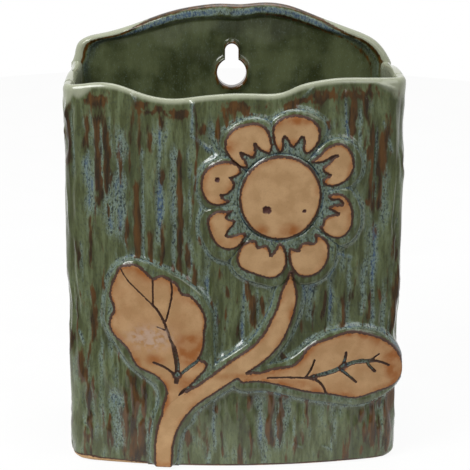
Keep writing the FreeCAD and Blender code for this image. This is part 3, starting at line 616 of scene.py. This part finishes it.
def plan_path(back_y, step):
    """Places along the outside from one seam round the front to the other, with the way out of the wall."""
    turn = math.atan2(CORNER_X, ARC_Y - CORNER_Y)
    side = np.linspace(back_y, CORNER_Y, max(int((back_y - CORNER_Y) / step), 2))[:-1]
    upright = np.full(len(side), HALF)
    corner = np.linspace(math.pi / 2, turn, int(CORNER_R * (math.pi / 2 - turn) / (0.75 * step)))
    front = np.linspace(turn, 0, int(FRONT_R * turn / step))[1:]
    x = np.concatenate([upright, CORNER_X + CORNER_R * np.sin(corner), FRONT_R * np.sin(front)])
    y = np.concatenate([side, CORNER_Y - CORNER_R * np.cos(corner), ARC_Y - FRONT_R * np.cos(front)])
    out = np.concatenate([np.full(len(side), math.pi / 2), corner, front])
    out_x, out_y = np.sin(out), -np.cos(out)
    right = np.stack([x, y, out_x, out_y], 1)
    return np.concatenate([right * [-1, 1, -1, 1], right[-2::-1]])


def crown_line(node, path):
    """Height of the rim over the middle of the wall, along the path."""
    tree = tree_of(node)
    middle = path[:, :2] - path[:, 2:] * WALL / 2
    heights = np.array([height_at(tree, x, y) for x, y in middle])
    known = ~np.isnan(heights)
    if not known.any():
        raise RuntimeError("No rim is found on " + node)
    places = np.arange(len(heights))
    heights = np.interp(places, places[known], heights[known])
    return np.convolve(np.pad(heights, 4, mode="edge"), np.ones(9) / 9, mode="valid")


def wall_section(rise, lip_round):
    """Depth into the wall, height share and place on the lip, going up the outside, over, and down inside."""
    turns = np.linspace(0, math.pi / 2, LIP_POINTS)
    outside = [(0.0, share, 0.0) for share in np.arange(0, 1, rise)]
    over = [(lip_round * (1 - math.cos(t)), 1.0, lip_round * math.sin(t)) for t in turns]
    back = [(WALL - depth, share, lip) for depth, share, lip in over[::-1]]
    inside = [(WALL, share, 0.0) for share in np.linspace(1, 0, INSIDE_POINTS)[1:]]
    return np.array(outside + over + back + inside)


def wall_fields(fields, across, z, depth, top, seed):
    """The fields over a wall's whole skin: the bark's, faded out inside, the pale lip, reaching far down the
    upper corners as a painted highlight, and the bare foot.
    """
    inner = ease(depth, WALL / 2, WALL)
    # The pale lip reaches far down the upper corners: there it is a painted highlight on the lumpy corners,
    # while on the crest it is the glaze's own pale colour
    corner = ease(np.abs(across) + 6 * (noise(across / 5, z / 5, seed + 14) - 0.5), 66, 84)
    pale_and_highlight_reach = 1.4 + corner * (4 + 26 * noise(across / 3.5, z / 9, seed + 15))
    lip = ease(z - top, -pale_and_highlight_reach, sizes().lip_round / MM - 3 * corner)
    foot_line = 0.5 + 1.9 * ease(-across, 30, 78) + 0.7 * noise(across / 6, z / 50, seed + 12)
    fields = {name: values * (1 - inner) for name, values in fields.items()}
    fields["ridge"] *= 1 - lip
    return {**fields, "clay": ease(z, foot_line + 0.5, foot_line - 0.5), "inside": inner, "lip": lip}


def wall_skin(node, path, seed):
    """A wall piece with its outside, rolled lip, inside and foot, as one closed skin."""
    lip_round = sizes().lip_round / MM
    crown = crown_line(node, path)[None, :]
    section = wall_section(BARK_RISE / np.median(crown), lip_round)
    rows, columns = len(section), len(path)
    whole = np.ones((rows, columns))
    depth, share, lip = [column[:, None] * whole for column in section.T]
    x, y, out_x, out_y = [column[None, :] * whole for column in path.T]
    crown = crown * whole
    top = crown - lip_round
    z = share * top + lip
    # Round the corners, places across go on as lengths along the side walls
    across = x + np.where(np.abs(x) >= HALF - 0.01, np.sign(x) * (y - CORNER_Y), 0)
    lift, fields = bark(across, z, crown, seed)
    outside = depth < WALL / 2
    dip = np.where(outside, lift, INSIDE_WAVE * (noise(across / 9, z / 14, seed + 4) - 0.5))
    roll = ease(np.minimum(depth, WALL - depth), lip_round, 0)
    dip = dip * roll + (1 - roll) * LIP_WAVE * (noise(across / 8 + 3, z / 9, seed + 6) - 0.6)
    turn = FOOT_ROUND + FOOT_CORNER_ROUND * bell(np.abs(across) - HALF + 1.5, 5)
    foot = np.where(outside, turn - np.sqrt(np.maximum(turn**2 - np.maximum(turn - z, 0) ** 2, 0)), 0)
    inset = depth - np.where(outside, dip - foot, -dip)
    points = np.stack([np.clip(x - out_x * inset, -HALF, HALF), y - out_y * inset, np.maximum(z, 0)], 2)
    faces = [face[::-1] for face in ring_faces(columns, rows)]
    fields = wall_fields(fields, across, z, depth, top, seed)
    fields = {name: values.T for name, values in fields.items()}
    return points.transpose(1, 0, 2).reshape(-1, 3), faces, fields


def side_skin(node, side):
    """One side wall, from the back slab to the front slab's return."""
    ys = np.linspace(-BACK_WALL, SEAM_Y, int((-BACK_WALL - SEAM_Y) / SIDE_STEP))[::-side]
    still = np.zeros(len(ys))
    return wall_skin(node, np.stack([still + side * HALF, ys, still + side, still], 1), 7)


# The back slab

def keyhole_reach(angle):
    """Distance from the hole's centre to the keyhole's edge, in a direction measured from straight up."""
    c, s = np.cos(angle), np.abs(np.sin(angle))
    to_wall = SLOT_HALF / np.maximum(s, 1e-9)
    to_end = SLOT_RISE * c + np.sqrt(np.maximum(SLOT_HALF**2 - (SLOT_RISE * s) ** 2, 0))
    in_slot = (c > 0) & (to_wall > HOLE_R)
    slot = np.where(to_wall * c <= SLOT_RISE, to_wall, to_end)
    return np.where(in_slot, np.maximum(slot, HOLE_R), HOLE_R)


def slab_outline():
    """Points of the back slab's outline, as x and height: the arch, both sides and the foot."""
    tree = tree_of("back_slab")
    half = np.concatenate([np.linspace(0, 30, 75), np.linspace(30, HALF - 0.05, 90)[1:]])
    arch = [(x, height_at(tree, x, -BACK_WALL / 2)) for x in np.concatenate([-half[::-1], half[1:]])]
    if np.isnan(arch).any():
        raise RuntimeError("No rim is found on back_slab")
    left = [(-HALF, z) for z in np.arange(2, arch[0][1] - 1, EDGE_STEP)]
    right = [(HALF, z) for z in np.arange(2, arch[-1][1] - 1, EDGE_STEP)]
    foot = [(x, 0.0) for x in np.arange(-HALF, HALF + 0.1, EDGE_STEP)]
    return np.array(arch + left + right + foot)


def back_rings(hole, reach):
    """The back slab's rings: way out from the hole's centre, place between the faces, whether it lies on the
    pocket's face, and how far it has turned round the rim, from 0 on that face to pi on the wall side."""
    still, off_rim = np.zeros_like(hole), 9
    spread = np.linspace(0, 1, FACE_POINTS)[1:] ** 1.15
    quarter = np.linspace(0, math.pi / 2, HOLE_POINTS)
    start, end = hole + HOLE_ROUND, reach - RIM_ROUND
    rings = [(hole, y, 0, off_rim) for y in np.linspace(-HOLE_ROUND, HOLE_ROUND - BACK_WALL, HOLE_POINTS)]
    for t in quarter[1:]:
        sunk = HOLE_ROUND * (1 - math.sin(t)) - BACK_WALL
        rings.append((start - HOLE_ROUND * math.cos(t), sunk, 0, off_rim))
    rings += [(start + share * (end - start), -BACK_WALL, 1, 0) for share in spread]
    for turn in np.linspace(0, math.pi, RIM_POINTS)[1:-1]:
        out = reach - RIM_ROUND * (1 - math.sin(turn))
        rings.append((out, -BACK_WALL / 2 * (1 + math.cos(turn)), 0, turn))
    rings += [(start + share * (end - start), 0, 0, off_rim) for share in spread[::-1]]
    for t in quarter[:-1]:
        rings.append((start - HOLE_ROUND * math.sin(t), -HOLE_ROUND * (1 - math.cos(t)), 0, off_rim))
    return [np.array([ring[part] + still for ring in rings]) for part in range(4)]


def back_skin():
    """The back slab: rings from the keyhole over the pocket's face, round the rim and back behind."""
    offset = slab_outline() - [0, HOLE_Z]
    angle = np.arctan2(offset[:, 0], offset[:, 1])
    offset, angle = offset[np.argsort(angle)], np.sort(angle)
    reach = np.hypot(offset[:, 0], offset[:, 1])
    hole = keyhole_reach(angle)
    out, y, pocket, turn = back_rings(hole, reach)
    x, z = out * offset[:, 0] / reach, HOLE_Z + out * offset[:, 1] / reach
    to_rim, from_hole = reach - out, out - hole
    upper = ease(z, *SHOULDERS)
    wave = noise(x / 11 + 7, z / 11 + 7, 61) - 0.5
    sink = POCKET_SINK * ease(to_rim, RIM_BAND, RIM_BAND + 3.6) * upper + POCKET_WAVE * wave
    y = np.minimum(y + np.maximum(sink * ease(from_hole, 0.5, 3), 0) * pocket, 0)
    # The rust line runs along the rim's front edge, and leaves it for the pocket's side on the shoulders.
    # Inside it glaze gathers in a band, as it does near the relief.
    line = 0.5 + 4.6 * ease(np.abs(x), 40, 66) + 0.8 * (noise(x / 6, z / 6, 66) - 0.5)
    on_rim, front = turn <= math.pi, (turn < 1.75).astype(float)
    band = bell(to_rim - line - 3.2, 1.7) * upper * (turn < 1)
    rim_line = 1.1 * bell(to_rim - line, 0.8) * upper * front
    pocket_line = 0.75 * bell(to_rim - line - 6.0, 0.8) * upper * pocket * ease(x, 5, 25)
    hole_line = 0.9 * bell(from_hole, 1.5) * ease(noise(x / 3 + 9, z / 3 + 9, 64), 0.05, 0.45)
    fields = {
        "thin": np.maximum.reduce([rim_line, pocket_line, hole_line]),
        "pool": 0.6 * band,
        "ridge": 0.4 * wave,
        "near": 0.55 * band,
        "clay": ease(z, 2.2, 1.2),
        # The pocket's face away from the rim takes the darker pocket colour, which is partly painted shade
        "inside": pocket * ease(to_rim, RIM_BAND, RIM_BAND + 3.5),
        "lip": on_rim * np.maximum(front * ease(to_rim, line + 0.2, line - 0.8), 1 - front) * upper,
    }
    return np.stack([x, y, np.maximum(z, 0)], 2).reshape(-1, 3), ring_faces(*out.shape, joined=True), fields


def base_skin():
    """The floor of the pocket, between the walls."""
    path = plan_path(-BACK_WALL, FLOOR_STEP)
    ring = path[:, :2] - path[:, 2:] * (WALL - FLOOR_LAP)
    centre = np.array([0, (ring[:, 1].min() - BACK_WALL) / 2])
    spread = np.linspace(0.985, 0.05, FLOOR_POINTS)
    edge = [(1.0, FLOOR_ROUND), (1.0, BASE_TOP - FLOOR_ROUND)]
    levels = [(share, 0.0) for share in spread[::-1]] + edge + [(share, BASE_TOP) for share in spread]
    points = []
    for share, z in levels:
        flat = centre + (ring - centre) * share
        wave = noise(flat[:, 0] / 12 + 9, flat[:, 1] / 12 + 9, 71) - 0.5
        bump = POCKET_WAVE * wave * (share < 0.99) * (z > 1)
        points.append(np.column_stack([flat, np.maximum(z + bump, 0)]))
    faces = ring_faces(len(points), len(ring))
    points = np.concatenate(points)
    ridge = noise(points[:, 0] / 9, points[:, 1] / 9, 5) - 0.5
    fields = {"clay": ease(points[:, 2], 2, 1), "inside": np.ones(len(points)), "ridge": ridge}
    return points, faces, fields


# Materials

SMOOTH = {"interpolation_type": "SMOOTHSTEP"}
SHARED_FIELDS = ("thin", "pool", "ridge", "inside", "lip", "clay")
SLAB_FIELDS = (*SHARED_FIELDS, "near")
RELIEF_FIELDS = (*SHARED_FIELDS, "lift", "toast", "pit", "film")


def linear(code):
    """An sRGB hex colour as linear red, green, blue and alpha."""
    shares = [int(code[k:k + 2], 16) / 255 for k in (1, 3, 5)]
    return [s / 12.92 if s <= 0.04045 else ((s + 0.055) / 1.055) ** 2.4 for s in shares] + [1.0]


def add(tree, kind, inputs=(), **settings):
    """Adds a shader node with its settings. Inputs, by place or by name, take a value, a socket or a node."""
    made = tree.nodes.new("ShaderNode" + kind)
    for name, value in settings.items():
        setattr(made, name, value)
    for socket, value in inputs.items() if isinstance(inputs, dict) else enumerate(inputs):
        if isinstance(value, bpy.types.Node):
            value = next(output for output in value.outputs if output.enabled)
        if isinstance(value, bpy.types.NodeSocket):
            tree.links.new(value, made.inputs[socket])
        else:
            made.inputs[socket].default_value = value
    return made


def new_material(name):
    """A material with an empty node tree."""
    material = bpy.data.materials.new(name)
    material.use_nodes = True
    material.node_tree.nodes.clear()
    return material, material.node_tree


def grain(tree, size, stretch=1.0, detail=2.0, roughness=0.5):
    """A pattern whose spots are size millimetres across, and longer upright by the stretch."""
    scale = (1 / MM / size, 1 / MM / size, 1 / MM / size / stretch)
    place = add(tree, "Mapping", {"Vector": add(tree, "TexCoord").outputs["Object"], "Scale": scale})
    return add(tree, "TexNoise", {"Vector": place, "Scale": 1.0, "Detail": detail, "Roughness": roughness})


def adjust(tree, share, *parts):
    """Adds to a share what each part gives: a pattern, the window that it passes, and what the ends add."""
    for part in parts:
        share = add(tree, "Math", [share, add(tree, "MapRange", part, **SMOOTH)], operation="ADD")
    return share


def layer(tree, under, over, share, window=(0, 1), strength=(0, 1), broken=None):
    """Lays one colour over another as a share passes a window, broken up by a pattern where one is given."""
    cover = add(tree, "MapRange", [share, *window, *strength], **SMOOTH)
    if broken:
        cover = add(tree, "Math", [cover, add(tree, "MapRange", broken, **SMOOTH)], operation="MULTIPLY")
    return add(tree, "Mix", {0: cover, 6: under, 7: over}, data_type="RGBA")


def glaze_thickness(tree, surface, streaks, cloud, faces_bare):
    """How thick the glaze lies: it pools in hollows, down the relief's flanks and round its foot. On the
    relief's flanks the pale veil starts right at the shoulder, partly as a painted highlight.
    """
    if faces_bare:
        # Pale veil over the whole flank from the shoulder down: partly glaze pooling, partly a painted
        # highlight on the rounded shoulders
        flank = (surface["lift"], 2.75, 1.3, 0, 0.85)
    else:
        ring = add(tree, "MapRange", [surface["near"], 0.02, 0.3, 0, 0.8], **SMOOTH)
        gaps = add(tree, "MapRange", [cloud, 0.35, 0.6, 0.45, 1], **SMOOTH)
        flank = (add(tree, "Math", [ring, gaps], operation="MULTIPLY"), 0, 1, 0, 1)
    hollows, thinner = (surface["ridge"], 0.05, -0.5, 0, 0.5), (cloud, 0.62, 0.4, -0.2, 0.1)
    return adjust(tree, surface["pool"], hollows, thinner, (streaks, 0.3, 0.7, -0.25, 0.2), flank)


def green_glaze(tree, colours, surface, faces_bare):
    """The glaze's colours: green, blue where thick, brown where thin, dark in the pocket, partly as painted
    shade, and pale on lips, with a painted highlight down their upper corners.
    """
    streaks = grain(tree, 2.8, stretch=6, detail=3, roughness=0.6)
    cloud = grain(tree, 14, stretch=3)
    # The real specks are finer than a pixel, so they are drawn three times as coarse to show
    specks = grain(tree, 0.75, stretch=1.6, roughness=0.7)
    dots = grain(tree, 0.9, stretch=1.8, detail=1)
    thick = glaze_thickness(tree, surface, streaks, cloud, faces_bare)
    glaze = layer(tree, colours.olive, colours.celadon, streaks, (0.36, 0.62))
    glaze = layer(tree, glaze, colours.deep_green, cloud, (0.4, 0.75), (0, 0.6))
    glaze = layer(tree, glaze, colours.milky_blue, thick, (0.05, 0.9), broken=(specks, 0.34, 0.62, 0.15, 1))
    glaze = layer(tree, glaze, colours.iron_speck, thick, (0.1, 0.8), (0.3, 1), (dots, 0.53, 0.66, 0, 0.85))
    glaze = layer(tree, glaze, colours.pool_blue, thick, (0.8, 1.3), (0, 0.8), (specks, 0.62, 0.4, 0.1, 1))
    # The pocket's colours are darker than the glaze outside: partly the glaze running more olive there,
    # partly painted shade inside the pocket
    pocket = layer(tree, colours.inner_dark_with_shade, colours.inner_green_with_shade, grain(tree, 18, detail=4), (0.35, 0.65))
    pocket = layer(tree, pocket, colours.milky_blue, specks, (0.55, 0.75), (0, 0.3))
    glaze = layer(tree, glaze, pocket, surface["inside"], strength=(0, 0.85))
    # Pale lip colour: the glaze's own pale crest, and a painted highlight down the upper corners
    glaze = layer(tree, glaze, colours.lip_green_and_highlight, surface["lip"], (0.2, 1), (0, 0.75))
    frayed = (grain(tree, 1.4, stretch=4, detail=3), 0.3, 0.7, -0.22, 0.22)
    worn = adjust(tree, surface["thin"], frayed, (surface["ridge"], 0.2, 0.6, 0, 0.5))
    brown = layer(tree, colours.dark_break, colours.rust_break, streaks, (0.35, 0.65))
    return layer(tree, glaze, brown, worn, (0.16, 0.62), (0, 0.96))


def bare_clay(tree, colours, surface, faces_bare):
    """Bare buff stoneware: fine iron specks, slow mottling, and orange toasting along the glaze."""
    buff = layer(tree, colours.buff_clay, colours.pale_clay, grain(tree, 7, detail=4), (0.35, 0.65))
    buff = layer(tree, buff, colours.grit, grain(tree, 0.6), (0.5, 0.75), (0, 0.22))
    if faces_bare:
        patches = (grain(tree, 5, detail=3), 0.35, 0.62, 0.5, 1)
        buff = layer(tree, buff, colours.toasted_clay, surface["toast"], (0, 0.7), broken=patches)
        buff = layer(tree, buff, colours.iron_pit, surface["pit"])
    return buff


def reactive_glaze(name, colours, faces_bare):
    """Reactive green stoneware glaze, brushed on and fired. It breaks brown where it is thin, on ridges and
    edges, and pools blue with specks where it runs thick. The clay it leaves bare is buff and toasted."""
    material, tree = new_material(name)
    names = RELIEF_FIELDS if faces_bare else SLAB_FIELDS
    surface = {each: add(tree, "Attribute", attribute_name=each).outputs["Fac"] for each in names}
    glaze = green_glaze(tree, colours, surface, faces_bare)
    edge = adjust(tree, surface["clay"], (grain(tree, 1.1), 0.3, 0.7, -0.09, 0.09))
    glaze = layer(tree, glaze, colours.glaze_line, edge, (0.06, 0.24))
    bare = add(tree, "MapRange", [edge, 0.8, 0.9, 0, 1], **SMOOTH)
    colour = layer(tree, glaze, bare_clay(tree, colours, surface, faces_bare), bare)
    # Fired glaze is glass, smooth and glossy, and bare clay is matt
    roughness = add(tree, "MapRange", [edge, 0.08, 0.4, 0.13, 0.62], **SMOOTH)
    if faces_bare:
        patches = (grain(tree, 2.5, detail=4), 0.38, 0.6, 0, 1)
        colour = layer(tree, colour, colours.pink_film, surface["film"], (0, 0.8), (0, 0.75), patches)
        roughness = adjust(tree, roughness, (surface["film"], 0, 0.8, 0, -0.4))
    # Orange peel under the glaze, and sandy grit of half a millimetre on the clay
    grit = add(tree, "Math", [grain(tree, 0.5, detail=3), bare], operation="MULTIPLY")
    height = add(tree, "Math", [grain(tree, 2.2, stretch=4), grit], operation="ADD")
    bump = add(tree, "Bump", {"Height": height, "Strength": 0.55, "Distance": 0.13 * MM})
    inputs = {"Base Color": colour, "Roughness": roughness, "Normal": bump, "IOR": 1.52}
    add(tree, "OutputMaterial", {"Surface": add(tree, "BsdfPrincipled", inputs)})
    return material


# Settings

LENGTH = {"min": 0, "unit": "LENGTH"}
ANGLE = {"subtype": "ANGLE"}
POWER = {"min": 0, "unit": "POWER"}


def setting(label, description, value, **kind):
    """A setting that holds one number."""
    return bpy.props.FloatProperty(name=label, description=description, default=value, **kind)


def colour_setting(label, code):
    """A setting that holds one colour."""
    return bpy.props.FloatVectorProperty(name=label, description=label + " of the vase", default=linear(code),
                                         size=4, min=0, max=1, subtype="COLOR")


class VaseSizes(bpy.types.PropertyGroup):
    """Sizes of the surface that may change while the slabs stay as they are."""

    bark_depth: setting("Bark depth", "How far the bark's ridges stand over its hollows", 1.9 * MM, **LENGTH)
    lip_round: setting("Lip", "Radius of the walls' rolled lips", 2.8 * MM, **LENGTH)
    vein_depth: setting("Vein depth", "How deep the leaves' veins are cut", 1.1 * MM, **LENGTH)
    shoulder_softness: setting("Shoulders", "How softly the relief's pads turn down", 2.2 * MM, **LENGTH)


class VaseColours(bpy.types.PropertyGroup):
    """Colours of the glaze and the clay."""

    olive: colour_setting("Olive glaze", "#484e2d")
    celadon: colour_setting("Pale green glaze", "#646e4c")
    deep_green: colour_setting("Deep green glaze", "#33381d")
    milky_blue: colour_setting("Milky blue veil", "#74857d")
    iron_speck: colour_setting("Dark blue specks", "#20292a")
    pool_blue: colour_setting("Pooled blue", "#3f5878")
    inner_dark_with_shade: colour_setting("Dark green inside the pocket", "#2b301b")
    inner_green_with_shade: colour_setting("Green inside the pocket", "#555c40")
    lip_green_and_highlight: colour_setting("Pale green on the lips", "#a8ac96")
    rust_break: colour_setting("Rust where glaze is thin", "#56360f")
    dark_break: colour_setting("Brown where glaze is thin", "#2b1c07")
    glaze_line: colour_setting("Dark line at the glaze's edge", "#3b1c06")
    buff_clay: colour_setting("Buff clay", "#ab865b")
    pale_clay: colour_setting("Pale clay", "#bb966b")
    grit: colour_setting("Clay grit", "#7c5f40")
    toasted_clay: colour_setting("Toasted clay", "#92551c")
    iron_pit: colour_setting("Iron pits", "#42170a")
    pink_film: colour_setting("Thin glaze film on the left leaf", "#b9a08e")


class VaseStage(bpy.types.PropertyGroup):
    """Lamps and camera."""

    camera_distance: setting("Camera distance", "From the camera to its aim", 800 * MM, **LENGTH)
    camera_pitch: setting("Camera pitch", "How far the camera looks down", math.radians(17), **ANGLE)
    camera_turn: setting("Camera turn", "How far the camera stands aside", math.radians(-1.541), **ANGLE)
    camera_roll: setting("Camera roll", "How far the camera leans", math.radians(0.262), **ANGLE)
    lens: setting("Lens", "Focal length in millimetres", 123.54, min=1, unit="CAMERA")
    key_power: setting("Key lamp", "Power of the large softbox at the upper left", 11.8, **POWER)
    fill_power: setting("Fill lamp", "Power of the softbox at the right", 4.4, **POWER)
    top_power: setting("Top lamp", "Power of the softbox overhead", 3.6, **POWER)


class MakeMaterials(bpy.types.Operator):
    """Makes the glaze and the bare clay."""

    bl_idname = "vase.make_materials"
    bl_label = "Glaze and Clay"

    def execute(self, context):
        colours = context.scene.vase_colours
        MATERIALS["slab"] = reactive_glaze("reactive_green_glaze_on_stoneware", colours, faces_bare=False)
        MATERIALS["relief"] = reactive_glaze("bare_buff_clay_with_glazed_flanks", colours, faces_bare=True)
        return {"FINISHED"}


class MakeFront(bpy.types.Operator):
    """Makes the bowed front slab with its bark and rolled lip."""

    bl_idname = "vase.make_front"
    bl_label = "Front Slab"

    def execute(self, context):
        skin = wall_skin("front_slab", plan_path(SEAM_Y, BARK_STEP), 3)
        make_piece("front_slab_bark", *skin, "slab", "front_slab", "glazed_stoneware")
        return {"FINISHED"}


class MakeSides(bpy.types.Operator):
    """Makes both side slabs."""

    bl_idname = "vase.make_sides"
    bl_label = "Side Slabs"

    def execute(self, context):
        for node, side in (("left_side_slab", -1), ("right_side_slab", 1)):
            make_piece(node + "_bark", *side_skin(node, side), "slab", node, "glazed_stoneware")
        return {"FINISHED"}


class MakeBack(bpy.types.Operator):
    """Makes the back slab with its arch and keyhole."""

    bl_idname = "vase.make_back"
    bl_label = "Back Slab"

    def execute(self, context):
        make_piece("back_slab_arch", *back_skin(), "slab", "back_slab", "glazed_stoneware")
        return {"FINISHED"}


class MakeBase(bpy.types.Operator):
    """Makes the pocket's floor."""

    bl_idname = "vase.make_base"
    bl_label = "Base Slab"

    def execute(self, context):
        make_piece("base_slab_floor", *base_skin(), "slab", "base_slab", "glazed_stoneware")
        return {"FINISHED"}


class MakeFlower(bpy.types.Operator):
    """Makes the flower's disc and petals, with their small iron pits."""

    bl_idname = "vase.make_flower"
    bl_label = "Flower"

    def execute(self, context):
        for node in ["flower_centre", *PETALS]:
            make_piece(node + "_clay", *relief_skin(node, PITS.get(node, ())), "relief", node, "bare_clay")
        return {"FINISHED"}


class MakePlant(bpy.types.Operator):
    """Makes the stem and both leaves."""

    bl_idname = "vase.make_plant"
    bl_label = "Stem and Leaves"

    def execute(self, context):
        for node in ("stem", "left_leaf", "right_leaf"):
            make_piece(node + "_clay", *relief_skin(node), "relief", node, "bare_clay")
        return {"FINISHED"}


def lamp(name, power, size, place, aim):
    """A square white softbox that faces the vase."""
    light = bpy.data.lights.new(name, "AREA")
    light.energy, light.size = power, size
    made = link(name, light)
    made.location = place
    made.rotation_euler = (aim - place).to_track_quat("-Z", "Y").to_euler()


def rays(tree):
    """Whether a ray comes from the camera, and whether it comes from a mirror or through glass."""
    path = add(tree, "LightPath")
    mirror, glass = path.outputs["Is Glossy Ray"], path.outputs["Is Transmission Ray"]
    return path.outputs["Is Camera Ray"], add(tree, "Math", [mirror, glass], operation="MAXIMUM")


def make_board():
    """A round white board under the vase and behind it: matt paint that shows white with a soft shadow."""
    mesh = bpy.data.meshes.new("floor")
    turns = np.linspace(0, 2 * math.pi, BOARD_SIDES, endpoint=False)
    ring = [(BOARD_R * math.cos(turn), BOARD_Y + BOARD_R * math.sin(turn), -BOARD_GAP) for turn in turns]
    mesh.from_pydata(row_frame(ring).tolist(), [], [list(range(BOARD_SIDES))])
    material, tree = new_material("matt_white_board")
    colour = layer(tree, linear("#f2f2f0"), linear("#fbfbfa"), grain(tree, 40), (0.3, 0.7))
    board = add(tree, "BsdfPrincipled", {"Base Color": colour, "Roughness": 0.9})
    glow = add(tree, "Emission", {"Color": (1, 1, 1, 1), "Strength": 1.0})
    seen = add(tree, "Math", rays(tree), operation="MAXIMUM")
    seen = add(tree, "Math", [seen, BOARD_WHITE], operation="MULTIPLY")
    add(tree, "OutputMaterial", {"Surface": add(tree, "MixShader", [seen, board, glow])})
    mesh.materials.append(material)
    floor = link("floor", mesh)


def make_world(scene):
    """A white backdrop behind the vase, and a dim room in front that its glaze reflects."""
    world = bpy.data.worlds.new("pale_studio")
    world.use_nodes = True
    tree = world.node_tree
    tree.nodes.clear()
    soft = add(tree, "Background", {"Color": linear("#f4f4f2"), "Strength": ROOM_LIGHT})
    white = add(tree, "Background", {"Color": (1, 1, 1, 1), "Strength": 1.0})
    direction = add(tree, "SeparateXYZ", [add(tree, "TexCoord").outputs["Generated"]]).outputs["Y"]
    behind = add(tree, "MapRange", [direction, -0.2, 0.3, 0, 1], **SMOOTH)
    camera, others = rays(tree)
    behind = add(tree, "Math", [others, behind], operation="MULTIPLY")
    seen = add(tree, "Math", [camera, behind], operation="MAXIMUM")
    add(tree, "OutputWorld", {"Surface": add(tree, "MixShader", [seen, soft, white])})
    scene.world = world


def make_camera(scene, settings, aim):
    """The camera, in front of the vase and a little above it."""
    pitch, turn = settings.camera_pitch, settings.camera_turn
    back = Vector((math.sin(turn) * math.cos(pitch), -math.cos(turn) * math.cos(pitch), math.sin(pitch)))
    data = bpy.data.cameras.new("camera")
    data.lens = settings.lens
    camera = link("camera", data)
    camera.location = aim + back * settings.camera_distance
    rotation = (-back).to_track_quat("-Z", "Y").to_matrix()
    lean = Matrix.Rotation(settings.camera_roll, 3, rotation @ Vector((0, 0, 1)))
    camera.rotation_euler = (lean @ rotation).to_euler()
    scene.camera = camera


class MakeStage(bpy.types.Operator):
    """Makes the white board, the studio light and the camera."""

    bl_idname = "vase.make_stage"
    bl_label = "Stage"

    def execute(self, context):
        scene, settings = context.scene, context.scene.vase_stage
        aim = Vector(row_frame(AIM))
        make_board()
        make_world(scene)
        for name, (size, place) in SOFTBOXES.items():
            power = getattr(settings, name + "_power")
            lamp(name + "_softbox", power, size * MM, Vector(row_frame(place)), aim)
        make_camera(scene, settings, aim)
        scene.view_settings.view_transform = "Standard"
        return {"FINISHED"}


MAKERS = [MakeMaterials, MakeFront, MakeSides, MakeBack, MakeBase, MakeFlower, MakePlant, MakeStage]


class VasePanel(bpy.types.Panel):
    """Lists the vase's settings and its makers."""

    bl_idname = "VIEW3D_PT_wall_vase"
    bl_label = "Wall Vase"
    bl_space_type = "VIEW_3D"
    bl_region_type = "UI"
    bl_category = "Wall Vase"

    def draw(self, context):
        for group in GROUPS:
            box = self.layout.box()
            for name in GROUPS[group].__annotations__:
                box.prop(getattr(context.scene, group), name)
        for maker in MAKERS:
            self.layout.operator(maker.bl_idname)


GROUPS = {"vase_sizes": VaseSizes, "vase_colours": VaseColours, "vase_stage": VaseStage}
CLASSES = [*GROUPS.values(), *MAKERS, VasePanel]


def register():
    """Registers the classes and hangs the settings on the scene."""
    for each in CLASSES:
        bpy.utils.register_class(each)
    for name, group in GROUPS.items():
        setattr(bpy.types.Scene, name, bpy.props.PointerProperty(type=group))


def unregister():
    """Takes the settings and the classes away again."""
    for name in GROUPS:
        delattr(bpy.types.Scene, name)
    for each in reversed(CLASSES):
        bpy.utils.unregister_class(each)


def main():
    """Makes the vase and its stage."""
    register()
    for maker in MAKERS:
        group, name = maker.bl_idname.split(".")
        getattr(getattr(bpy.ops, group), name)()


if __name__ == "__main__":
    main()
